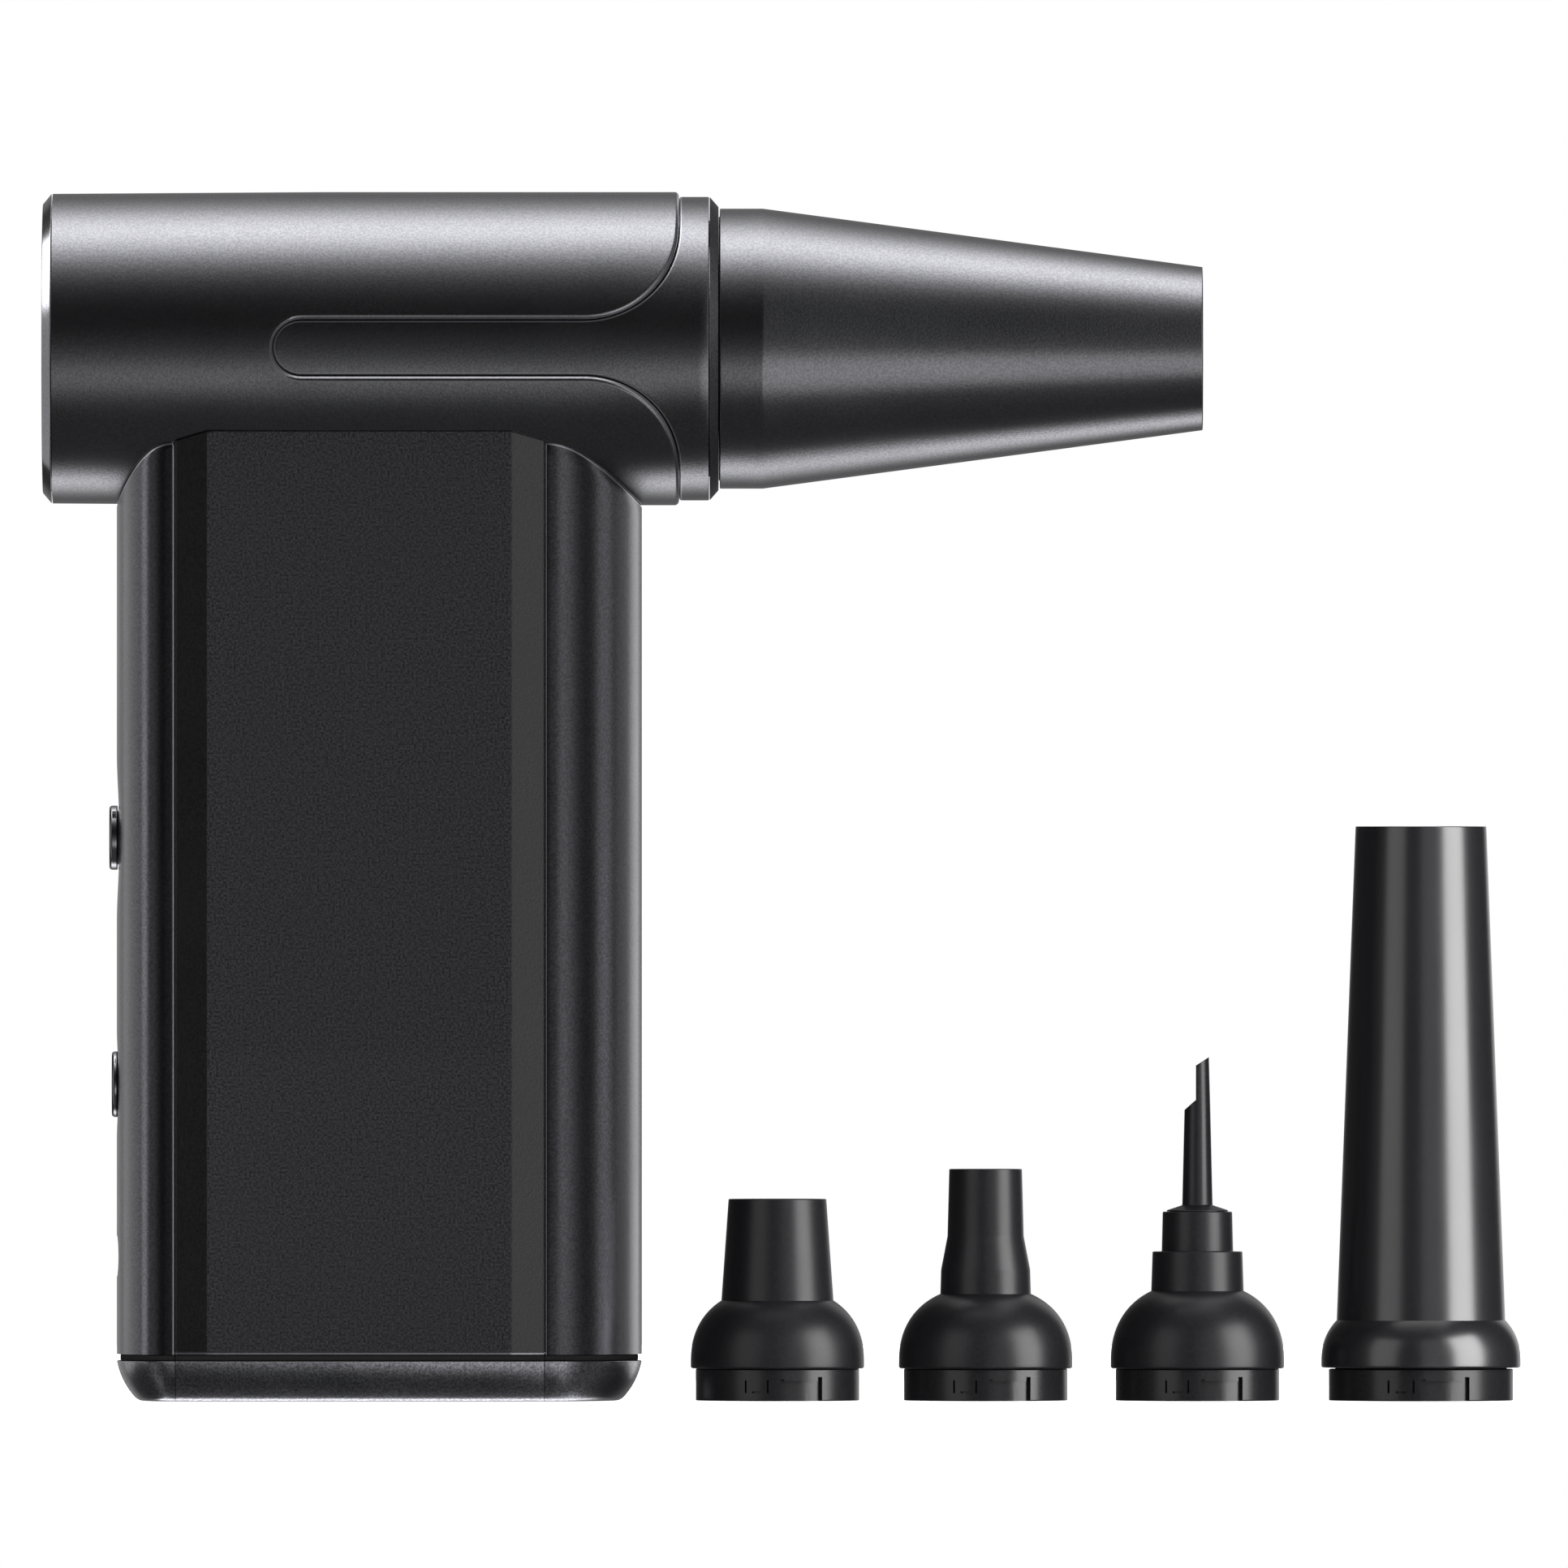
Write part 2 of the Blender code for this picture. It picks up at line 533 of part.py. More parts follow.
def make_spare_nozzles():
    shoulder = (BALL_R, BALL_FOOT_Z, BALL_Z)
    wide = make_axis("wide_axis", (WIDE_X, 0, 0))
    spare_ring("wide_nozzle_ring", RING_R, wide)
    spare_nozzle("wide_nozzle", wide, shoulder, [(7.67, 13.7), (6.69, 27.6)])
    small = make_axis("round_axis", (ROUND_X, 0, 0))
    spare_ring("round_nozzle_ring", RING_R, small)
    spare_nozzle("round_nozzle", small, shoulder, [(6.2, 14.6), (6.1, 17.9), (5.22, 22.5), (4.98, 31.7)])
    needle = make_axis("needle_axis", (NEEDLE_X, 0, 0))
    spare_ring("needle_nozzle_ring", RING_R, needle)
    make_needle_nozzle(needle, shoulder)
    long = make_axis("long_axis", (LONG_X, 0, 0))
    spare_ring("long_nozzle_ring", LONG_RING_R, long)
    spare_nozzle("long_nozzle", long, (LONG_SKIRT_R, BALL_FOOT_Z + 0.1, 4.9),
                 [(11.53, 11.0), (8.95, 78.6)], 1.05)


def make_needle_nozzle(axis, shoulder):
    tiers = [(6.33, 15.0), (6.15, 20.4), (4.89, 20.4), (4.76, 25.85)]
    ball_r, foot_z, ball_z = shoulder
    outer = ball_profile(ball_r, foot_z, ball_z, tiers[0][0])
    inner = ball_profile(ball_r - BALL_WALL, foot_z, ball_z, 3.7)
    hollow = [(1.1, 25.85), (1.1, 24.4), (3.7, 22.5)]
    turned("needle_nozzle", outer + tiers[1:] + hollow + list(reversed(inner)), "black_plastic", axis)
    tip = [(4.2, 26.05), (2.08, 26.75), (1.78, 39.6), (1.55, 48.0), (0.95, 48.0), (1.0, 26.05)]
    needle = turned("needle_tip", tip, "black_plastic", axis, 24)
    bm = bmesh.new()
    slant = [(-3.0, 38.7), (-0.2, 41.15), (-0.2, 45.85), (1.1, 46.7), (3.0, 48.0), (3.0, 50), (-3.0, 50)]
    prism_into(bm, slant, -4, 4, Matrix.Rotation(math.pi / 2, 4, "X"))
    combine(needle, make_object("cut_needle_slant", bm, None, axis), "DIFFERENCE")


# ---------------------------------------------------------------- grip

def barrel_cutter(head):
    """The space that the barrel takes out of the top of the grip."""
    radius = SLEEVE_R + GAP
    return turned("cut_barrel", [(0, -60), (radius, -60), (radius, 60), (0, 60)], None, head, ROUND)


def make_grip_shells(cutter, power_axis, speed_axis, port_axis):
    for name, curve in (("front_grip", front_curve), ("rear_grip", rear_curve)):
        shift = SEAM if curve is front_curve else -SEAM
        outer = [(x + shift * (index in (0, CURVE_STEPS)), y) for index, (x, y) in enumerate(curve())]
        inner = [(x + shift * (index in (0, CURVE_STEPS)), y)
                 for index, (x, y) in enumerate(curve(GRIP_WALL))]
        bm = bmesh.new()
        ribbon_into(bm, outer, inner, SHELL_Z0, 132.0, closed=False)
        shell = make_object(name, bm, "satin_grip")
        combine(shell, cutter, "DIFFERENCE")
        if curve is rear_curve:
            cut_rear_grip(shell, power_axis, speed_axis, port_axis)


def cut_rear_grip(shell, power_axis, speed_axis, port_axis):
    """Finger recesses, button holes and the charge port's recess and hole."""
    for label, axis, radius in (("power", power_axis, POWER_R), ("speed", speed_axis, SPEED_R)):
        recess = [(0, -2), (RECESS_R, -2), (RECESS_R - 0.6, RECESS_DEPTH), (0, RECESS_DEPTH)]
        combine(shell, turned(f"cut_{label}_recess", recess, None, axis, 16), "DIFFERENCE", "MANIFOLD")
        hole = [(0, -3), (radius + GAP, -3), (radius + GAP, 4), (0, 4)]
        combine(shell, turned(f"cut_{label}_hole", hole, None, axis, 16), "DIFFERENCE", "MANIFOLD")
    quarter = Matrix.Rotation(math.pi / 2, 4, "Z")
    for label, length, height, low, high in (("recess", 12.0, 5.67, -2, 0.35), ("hole", 9.6, 3.86, -3, 4)):
        bm = bmesh.new()
        prism_into(bm, stadium(length / 2, height / 2), low, high, quarter)
        cutter = make_object(f"cut_port_{label}", bm, None, port_axis)
        combine(shell, cutter, "DIFFERENCE", "MANIFOLD")


def make_side_panels(cutter):
    rear, front = REAR_SEAM_X + SEAM, FRONT_SEAM_X - SEAM
    back = 16.4
    outline = [(rear, back), (front, back), (front, SEAM_HALF), (FRONT_EDGE_X, FACE_HALF),
               (REAR_EDGE_X, FACE_HALF), (rear, SEAM_HALF)]
    for name, side in (("left_panel", 1), ("right_panel", -1)):
        bm = bmesh.new()
        prism_into(bm, [(x, y * side) for x, y in outline], SHELL_Z0 + SEAM, 133.6)
        combine(make_object(name, bm, "soft_panel"), cutter, "DIFFERENCE")


def make_base():
    """Cap with a rounded lower edge and four countersunk screws, and the gasket above it."""
    rims = []
    bm = bmesh.new()
    heights = [0.0, 1.0, 2.6, CAP_TOP_Z]
    tilt = math.radians(CAP_TILT)
    turns = [math.asin(math.sin(tilt) + (CAP_TOP_Z - z) / CAP_EDGE_R) for z in heights]
    levels = [(CAP_EDGE_R * (math.cos(tilt) - math.cos(turn)), z) for turn, z in zip(turns, heights)]
    levels += [(GRIP_WALL, CAP_TOP_Z), (GRIP_WALL, CAP_FLOOR)]
    for inset, z in levels:
        rims.append([bm.verts.new(Vector((x, y, z)) * MM) for x, y in grip_outline(inset)])
    bridge(bm, rims, closed=True)
    bm.faces.new(rims[0])
    bm.faces.new(rims[-1])
    cap = make_object("base_cap", bm, "satin_grip")
    combine(cap, rods("cut_screw_heads", BASE_SCREWS, 2.7, -1, 1.8), "DIFFERENCE")
    combine(cap, rods("cut_screw_shanks", BASE_SCREWS, 1.5, 0.9, 4), "DIFFERENCE")
    bm = bmesh.new()
    ribbon_into(bm, grip_outline(0.35), grip_outline(2.6), GASKET_Z0, GASKET_Z1, closed=True)
    make_object("base_gasket", bm, "rubber")
    make_screws("base_screw", BASE_SCREWS, 2.4, 0.5, 1.65, 9.2)


def make_screws(name, centres, head_r, head_z, neck_z, tip_z):
    """Identical upright screws with a drive recess in each head, sharing one profile."""
    shank_r, drive_r, drive_depth = 1.15, 1.0, 0.6
    profile = [(0, head_z + drive_depth), (drive_r, head_z), (head_r, head_z), (head_r, neck_z),
               (shank_r, neck_z), (shank_r, tip_z - 0.8), (0, tip_z)]
    for number, (x, y) in enumerate(centres, start=1):
        bm = bmesh.new()
        turned_into(bm, profile, SMALL - 2, Matrix.Translation((x, y, 0)))
        make_object(f"{name}_{number}", bm, "steel")


def make_frame():
    """Two side walls with stepped lips behind the shells, joined by two plates and a neck block."""
    wall = [(-30, 13.6), (-25.5, 13.6), (-25.5, 14.9), (20.5, 14.9), (20.5, 13.6), (25, 13.6),
            (25, 14.6), (22.2, 14.6), (22.2, 16.1), (-27.3, 16.1), (-27.3, 14.6), (-30, 14.6)]
    bm = bmesh.new()
    for side in (1, -1):
        prism_into(bm, [(x, y * side) for x, y in wall], FRAME_Z0, FRAME_Z1)
    frame = make_object("handle_frame", bm, "black_plastic")
    mid = boxes("add_mid_plate", [((-24, -15.2, MID_PLATE_Z), (20, 15.2, MID_PLATE_Z + 1.6))])
    top = boxes("add_top_plate", [((-24, -15.2, TOP_PLATE_Z), (20, 15.2, TOP_PLATE_Z + 2))])
    neck = boxes("add_neck_block", [((-12, -7, TOP_PLATE_Z + 1), (8, 7, 124.3))])
    for extra in (mid, top, neck):
        combine(frame, extra, "UNION")
    combine(frame, boxes("cut_lead_path", [((2.2, -3.6, 114), (6.6, 3.6, 126))]), "DIFFERENCE")
    combine(frame, boxes("cut_battery_path", [((-18, -5, 75), (-10, 5, 80))]), "DIFFERENCE")
    combine(frame, rods("cut_neck_screws", NECK_SCREWS, 1.4, 114, 126), "DIFFERENCE")
    make_screws("neck_screw", NECK_SCREWS, 2.3, 114.4, 115.8, 126.0)


# ---------------------------------------------------------------- inside the grip

def holder_outline(radius):
    """Stadium round the row of cells, seen from above."""
    middle = (CELL_XS[0] + CELL_XS[-1]) / 2
    half = (CELL_XS[-1] - CELL_XS[0]) / 2 + radius
    return [(x + middle, y) for x, y in stadium(half, radius, 7)]


def make_cells():
    for number, x in enumerate(CELL_XS, start=1):
        bm = bmesh.new()
        top = CELL_Z0 + CELL_LENGTH
        profile = [(0, CELL_Z0), (CELL_R, CELL_Z0), (CELL_R, top - 0.7), (CELL_R - 0.8, top - 0.9),
                   (3.3, top - 0.9), (3.0, top), (0, top)]
        turned_into(bm, profile, MEDIUM, Matrix.Translation((x, 0, 0)))
        make_object(f"cell_{number}", bm, "cell_wrap")
    for name, low, high, floor in (("lower_cell_holder", 7.0, 12.2, 8.5),
                                   ("upper_cell_holder", 71.0, 76.6, None)):
        bm = bmesh.new()
        prism_into(bm, holder_outline(HOLDER_R), low, high)
        holder = make_object(name, bm, "black_plastic")
        if floor:
            corner = boxes("add_screw_lands", [((-25, -13, low), (17.5, 13, high - 2))])
            combine(holder, corner, "UNION")
            combine(holder, rods("cut_base_screws", BASE_SCREWS, 1.4, low - 1, 9.5), "DIFFERENCE")
        bm = bmesh.new()
        pocket = (floor, high + 1) if floor else (low - 1, 74.95)
        prism_into(bm, holder_outline(POCKET_R), pocket[0], pocket[1])
        combine(holder, make_object(f"cut_pocket_{name}", bm), "DIFFERENCE")
        if not floor:
            combine(holder, boxes("cut_battery_leads", [((-17, -4, 74), (-11, 4, 78))]), "DIFFERENCE")
    boxes("lower_cell_link", [((CELL_XS[0] - 3.5, -3, 8.65), (CELL_XS[1] + 3.5, 3, 8.9))], "steel")
    boxes("upper_cell_link", [((CELL_XS[1] - 3.5, -3, 74.45), (CELL_XS[2] + 3.5, 3, 74.7))], "steel")


def make_button(name, axis, radius, proud):
    """Cap with a flange behind the shell and a stem, and a bright ring round its face."""
    face_r = radius - 0.75
    cap = [(0, 0.15 - proud), (face_r - 0.4, 0.15 - proud), (face_r, 0.4 - proud), (face_r, 0.25),
           (radius, 0.25), (radius, 2.1), (radius + 1.2, 2.1), (radius + 1.2, 2.9), (1.5, 2.9), (1.5, 3.85),
           (0, 3.85)]
    turned(name, cap, "black_plastic", axis, SMALL + 4)
    ring = [(face_r + 0.2, 0.1), (face_r + 0.2, 0.2 - proud), (face_r + 0.35, -proud),
            (radius - 0.15, -proud), (radius, 0.2 - proud), (radius, 0.1)]
    turned(f"{name}_ring", ring, "chrome", axis, SMALL + 4)


def make_boards(port_axis):
    far = BOARD_X + BOARD_THICK
    boxes("control_board", [((BOARD_X, -11, 33), (far, 11, 88))], "board")
    switch_x = BOARD_X - SEAM
    for name, z in (("power_switch", POWER_Z), ("speed_switch", SPEED_Z)):
        body = boxes(name, [((switch_x - 3.3, -3, z - 3), (switch_x, 3, z + 3))], "black_plastic")
        axis = make_axis(f"{name}_axis", (switch_x, 0, z), along_x=True)
        plunger = [(0, -3.6), (1.75, -3.6), (1.75, -3), (0, -3)]
        combine(body, turned(f"add_{name}_plunger", plunger, None, axis, 16), "UNION")
    boxes("charge_board", [((-32.8, -7, 16.8), (-24.6, 7, 17.9))], "board")
    make_charge_port(port_axis)
    driver = boxes("driver_board", [((-16, 4.0, 82), (18, 5.2, 112))], "board")
    combine(driver, rods("add_capacitor", [(-8, 0.4)], 4, 84, 100), "UNION")
    make_ribbon_lead("motor_leads", LEAD_X, 3, 104, 138.4)
    make_ribbon_lead("battery_leads", -14.0, 2, 75.1, 83.2)


def make_ribbon_lead(name, x, cores, low, high):
    """Flat lead of parallel cores, running straight up."""
    half = (cores * LEAD_R * 2 + (cores - 1) * 0.2) / 2
    quarter = Matrix.Rotation(math.pi / 2, 4, "Z")
    bm = bmesh.new()
    prism_into(bm, stadium(half, LEAD_R, 4), low, high, Matrix.Translation((x, 0, 0)) @ quarter)
    make_object(name, bm, "wire")


def make_charge_port(port_axis):
    """Metal shell open to the rear, a solid back and the contact tongue inside."""
    length, radius, metal = PORT_WIDTH / 2, PORT_HEIGHT / 2, 0.35
    quarter = Matrix.Rotation(math.pi / 2, 4, "Z")
    bm = bmesh.new()
    mouth, back = 0.6, 6.4
    ribbon_into(bm, stadium(length, radius), stadium(length - metal, radius - metal), mouth, back, True,
                quarter)
    port = make_object("charge_port", bm, "steel", port_axis)
    bm = bmesh.new()
    prism_into(bm, stadium(length - 0.1, radius - 0.1), 6.0, 8.0, quarter)
    combine(port, make_object("add_port_back", bm, None, port_axis), "UNION", "MANIFOLD")
    tongue = boxes("add_port_tongue", [((-0.35, -3.3, 1.4), (0.35, 3.3, 7.0))], None, port_axis)
    combine(port, tongue, "UNION", "MANIFOLD")


# ---------------------------------------------------------------- assembly

def main():
    for old in list(bpy.data.objects):
        bpy.data.objects.remove(old)
    head = make_axis("head_axis", (0, 0, HEAD_Z), along_x=True)
    power_axis = make_axis("power_button_axis", (GRIP_REAR_X, 0, POWER_Z), along_x=True)
    speed_axis = make_axis("speed_button_axis", (GRIP_REAR_X, 0, SPEED_Z), along_x=True)
    port_axis = make_axis("charge_port_axis", (GRIP_REAR_X, 0, PORT_Z), along_x=True)
    make_outer_sleeve(head)
    make_inner_barrel(head)
    make_end_rings(head)
    make_intake_grille(head)
    make_fan(head)
    make_motor(head)
    make_guide_vanes(head)
    make_duct(head)
    make_cone(head)
    make_spare_nozzles()
    cutter = barrel_cutter(head)
    make_grip_shells(cutter, power_axis, speed_axis, port_axis)
    make_side_panels(cutter)
    make_base()
    make_frame()
    make_cells()
    make_button("power_button", power_axis, POWER_R, POWER_PROUD)
    make_button("speed_button", speed_axis, SPEED_R, SPEED_PROUD)
    make_boards(port_axis)


main()
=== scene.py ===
"""Studio scene of the cordless car dryer blower and its spare nozzles.

Every visible CAD piece is replaced by a finer one of the same size, or keeps its shape and gets a detailed
material. Sizes below are in millimetres and come from the CAD frame where it holds them.
"""
import json
import math

import bmesh
import bpy
from mathutils import Matrix, Vector
from mathutils.geometry import delaunay_2d_cdt

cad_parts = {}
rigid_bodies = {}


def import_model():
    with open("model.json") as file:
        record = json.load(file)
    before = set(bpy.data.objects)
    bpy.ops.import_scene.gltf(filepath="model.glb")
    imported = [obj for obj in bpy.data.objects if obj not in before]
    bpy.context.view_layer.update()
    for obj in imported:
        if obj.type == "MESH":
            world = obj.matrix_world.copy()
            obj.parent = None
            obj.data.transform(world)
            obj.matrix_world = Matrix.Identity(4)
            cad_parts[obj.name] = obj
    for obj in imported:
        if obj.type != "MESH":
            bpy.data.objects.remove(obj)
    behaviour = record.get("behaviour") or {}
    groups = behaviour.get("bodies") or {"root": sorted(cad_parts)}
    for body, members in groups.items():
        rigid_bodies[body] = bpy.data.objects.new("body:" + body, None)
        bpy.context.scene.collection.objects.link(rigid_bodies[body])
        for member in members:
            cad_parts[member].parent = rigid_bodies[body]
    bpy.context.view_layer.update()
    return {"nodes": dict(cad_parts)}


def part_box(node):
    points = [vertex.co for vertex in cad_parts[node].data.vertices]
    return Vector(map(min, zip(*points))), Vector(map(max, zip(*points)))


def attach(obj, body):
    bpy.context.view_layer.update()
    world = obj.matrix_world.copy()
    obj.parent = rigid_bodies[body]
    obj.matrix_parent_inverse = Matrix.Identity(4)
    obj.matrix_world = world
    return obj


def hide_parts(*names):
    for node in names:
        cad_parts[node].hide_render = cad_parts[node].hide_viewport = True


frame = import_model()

MM = 0.001


# ---------------------------------------------------------------- sizes, read from the frame

class Span:
    """A CAD node's box in millimetres."""

    def __init__(self, node):
        low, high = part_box(node)
        self.x0, self.y0, self.z0 = (value / MM for value in low)
        self.x1, self.y1, self.z1 = (value / MM for value in high)

    @property
    def centre(self):
        return Vector(((self.x0 + self.x1) / 2, (self.y0 + self.y1) / 2, (self.z0 + self.z1) / 2))


SLEEVE = Span("outer_sleeve")
BARREL = Span("inner_barrel")
INTAKE = Span("intake_ring")
COLLAR = Span("collar_ring")
CONE = Span("cone_shell")
LINER = Span("cone_liner")
FRONT = Span("front_grip")
REAR = Span("rear_grip")
PANEL = Span("left_panel")
CAP = Span("base_cap")

HEAD_Z = SLEEVE.centre.z
SLEEVE_R = (SLEEVE.z1 - SLEEVE.z0) / 2
COLLAR_R = (COLLAR.z1 - COLLAR.z0) / 2
CONE_R = (CONE.z1 - CONE.z0) / 2
GRIP_HALF = FRONT.y1
REAR_SEAM_X, FRONT_SEAM_X = PANEL.x0 - 0.15, PANEL.x1 + 0.15
PANEL_HALF = PANEL.y1
REAR_EDGE_X, FRONT_EDGE_X = REAR_SEAM_X + 4.44, FRONT_SEAM_X - 4.66
SEAM_HALF = PANEL_HALF - 0.9
REAR_POWER, FRONT_POWER = 2.4, 2.0
TONGUE_HALF, TONGUE_NOSE_X = 4.4, -10.55
FLARE_X, FLARE_R = 28.06, 12.5
FINE = 192                     # facets round the barrel and the cone


# ---------------------------------------------------------------- materials

def new_material(name, colour, roughness, metallic=0.0, specular=0.5):
    """A Principled material; returns it with its node tree and shader."""
    made = bpy.data.materials.new(name)
    made.use_nodes = True
    shader = made.node_tree.nodes["Principled BSDF"]
    shader.inputs["Base Color"].default_value = (*colour, 1.0)
    shader.inputs["Roughness"].default_value = roughness
    shader.inputs["Metallic"].default_value = metallic
    shader.inputs["Specular IOR Level"].default_value = specular
    return made


def add_node(made, kind, **settings):
    node = made.node_tree.nodes.new(kind)
    for key, value in settings.items():
        setattr(node, key, value)
    return node


def join(made, source, target):
    made.node_tree.links.new(source, target)


def noise(made, grain_mm, detail=2.0):
    """Noise in object space with grains of about the given size."""
    coords = add_node(made, "ShaderNodeTexCoord")
    texture = add_node(made, "ShaderNodeTexNoise")
    texture.inputs["Scale"].default_value = 1.0 / (grain_mm * MM)
    texture.inputs["Detail"].default_value = detail
    join(made, coords.outputs["Object"], texture.inputs["Vector"])
    return texture.outputs["Fac"]


def spread(made, factor, low, high, start=0.3, end=0.7):
    """Maps a 0 to 1 factor to a range of numbers."""
    node = add_node(made, "ShaderNodeMapRange")
    node.inputs["From Min"].default_value = start
    node.inputs["From Max"].default_value = end
    node.inputs["To Min"].default_value = low
    node.inputs["To Max"].default_value = high
    join(made, factor, node.inputs["Value"])
    return node.outputs["Result"]


def shade(made, factor, dark, light, start=0.3, end=0.7):
    """Maps a factor to a colour between two colours."""
    node = add_node(made, "ShaderNodeMix", data_type="RGBA")
    node.inputs["A"].default_value = (*dark, 1.0)
    node.inputs["B"].default_value = (*light, 1.0)
    join(made, spread(made, factor, 0.0, 1.0, start, end), node.inputs["Factor"])
    return node.outputs["Result"]


def bump(made, height, strength, depth_mm):
    """Turns a height factor into relief on the shader's normal."""
    node = add_node(made, "ShaderNodeBump")
    node.inputs["Strength"].default_value = strength
    node.inputs["Distance"].default_value = depth_mm * MM
    join(made, height, node.inputs["Height"])
    join(made, node.outputs["Normal"], made.node_tree.nodes["Principled BSDF"].inputs["Normal"])


def textured(name, colour, roughness, grain_mm, vary, depth_mm, strength, wander, metallic=0.0, specular=0.5,
             smudge_mm=18.0):
    """Material with fine grain in colour and relief, and slow changes in roughness like handling marks."""
    made = new_material(name, colour, roughness, metallic, specular)
    shader = made.node_tree.nodes["Principled BSDF"]
    grain = noise(made, grain_mm)
    dark = tuple(channel * (1 - vary) for channel in colour)
    light = tuple(channel * (1 + vary) for channel in colour)
    join(made, shade(made, grain, dark, light, 0.36, 0.64), shader.inputs["Base Color"])
    smudges = noise(made, smudge_mm, 4.0)
    join(made, spread(made, smudges, roughness - wander, roughness + wander), shader.inputs["Roughness"])
    bump(made, grain, strength, depth_mm)
    return made


FINISHES = {
    # barrel, collar and cone: blasted, anodised aluminium with turned edges; edge paints highlights, chamfer
    # shade
    "anodised": dict(colour=(0.182, 0.182, 0.195), roughness=0.24, metallic=1.0, grain_mm=0.3, vary=0.15,
                     depth_mm=0.018, strength=0.5, wander=0.02),
    "sleeve": dict(colour=(0.186, 0.186, 0.199), roughness=0.24, metallic=1.0, grain_mm=0.3, vary=0.15,
                   depth_mm=0.018, strength=0.5, wander=0.02),
    # edge: lighter metal on rounded edges that paints highlight lines
    "edge": dict(colour=(0.46, 0.46, 0.49), roughness=0.34, metallic=1.0, grain_mm=0.3, vary=0.1,
                 depth_mm=0.004, strength=0.2, wander=0.03),
    # darker copy of the polished metal: painted shade on the collar's chamfer
    "chamfer": dict(colour=(0.15, 0.15, 0.163), roughness=0.5, metallic=1.0, grain_mm=0.3, vary=0.2,
                    depth_mm=0.008, strength=0.3, wander=0.03),
    "polished": dict(colour=(0.2, 0.2, 0.215), roughness=0.16, metallic=1.0, grain_mm=0.3, vary=0.1,
                     depth_mm=0.004, strength=0.2, wander=0.03),
    # grip: satin paint on the two end shells and the cap, soft-touch panels between bevelled strips
    "grip": dict(colour=(0.085, 0.085, 0.094), roughness=0.25, metallic=1.0, grain_mm=0.32, vary=0.2,
                 depth_mm=0.012, strength=0.5, wander=0.03),
    "cap": dict(colour=(0.19, 0.19, 0.207), roughness=0.26, metallic=1.0, grain_mm=0.3, vary=0.35,
                depth_mm=0.015, strength=0.4, wander=0.03),
    "panel": dict(colour=(0.0175, 0.017, 0.0205), roughness=0.6, grain_mm=0.3, vary=0.85, depth_mm=0.06,
                  strength=0.8, wander=0.05),
    # bevel: glossier copy of the panel finish; its darker colour is painted shade
    "bevel": dict(colour=(0.004, 0.004, 0.0045), roughness=0.28, specular=0.9, grain_mm=0.3, vary=0.6,
                  depth_mm=0.02, strength=0.6, wander=0.03),
    # spare nozzles: moulded black plastic, glossier on the long one
    "nozzle": dict(colour=(0.0045, 0.0045, 0.0052), roughness=0.34, specular=0.13, grain_mm=0.4, vary=0.15,
                   depth_mm=0.003, strength=0.12, wander=0.04),
    "long_nozzle": dict(colour=(0.0045, 0.0045, 0.0052), roughness=0.25, specular=0.33, grain_mm=0.5,
                        vary=0.12, depth_mm=0.002, strength=0.1, wander=0.02),
    "nozzle_ring": dict(colour=(0.0045, 0.0045, 0.005), roughness=0.26, specular=0.13, grain_mm=0.4,
                        vary=0.15, depth_mm=0.003, strength=0.15, wander=0.04),
    # small and inner pieces
    "plastic": dict(colour=(0.015, 0.015, 0.017), roughness=0.42, grain_mm=0.3, vary=0.2, depth_mm=0.01,
                    strength=0.3, wander=0.06),
    "chrome": dict(colour=(0.36, 0.36, 0.38), roughness=0.14, metallic=1.0, grain_mm=0.5, vary=0.05,
                   depth_mm=0.002, strength=0.1, wander=0.03),
    "steel": dict(colour=(0.5, 0.5, 0.52), roughness=0.3, metallic=1.0, grain_mm=0.25, vary=0.12,
                  depth_mm=0.006, strength=0.3, wander=0.06),
    "copper": dict(colour=(0.6, 0.22, 0.09), roughness=0.3, metallic=1.0, grain_mm=0.3, vary=0.2,
                   depth_mm=0.02, strength=0.4, wander=0.05),
    "board": dict(colour=(0.012, 0.09, 0.04), roughness=0.4, grain_mm=0.6, vary=0.25, depth_mm=0.01,
                  strength=0.3, wander=0.05),
    "cell": dict(colour=(0.03, 0.13, 0.33), roughness=0.3, grain_mm=1.2, vary=0.12, depth_mm=0.01,
                 strength=0.2, wander=0.05),
    "rubber": dict(colour=(0.014, 0.014, 0.015), roughness=0.75, grain_mm=0.2, vary=0.2, depth_mm=0.02,
                   strength=0.4, wander=0.05),
}


def make_materials():
    return {name: textured(name, **finish) for name, finish in FINISHES.items()}


# ---------------------------------------------------------------- mesh tools

def soften(points, amount, closed=True, steps=3):
    """Rounds each corner of an outline: cuts it back by amount and joins the cuts with a smooth curve."""
    made = []
    count = len(points)
    for index, point in enumerate(points):
        if not closed and index in (0, count - 1):
            made.append(tuple(point))
            continue
        corner = Vector(point)
        before, after = Vector(points[index - 1]), Vector(points[(index + 1) % count])
        back, ahead = before - corner, after - corner
        bend = math.pi - back.angle(ahead, math.pi)
        if bend < 0.12:
            made.append(tuple(point))
            continue
        start = corner + back * min(0.45, amount / back.length)
        end = corner + ahead * min(0.45, amount / ahead.length)
        if back.length > 4 * amount:
            made.append(tuple(corner + back * (1.7 * amount / back.length)))
        for step in range(steps + 1):
            share = step / steps
            curve = start * (1 - share) ** 2 + corner * (2 * share * (1 - share)) + end * share ** 2
            made.append(tuple(curve))
        if ahead.length > 4 * amount:
            made.append(tuple(corner + ahead * (1.7 * amount / ahead.length)))
    return made


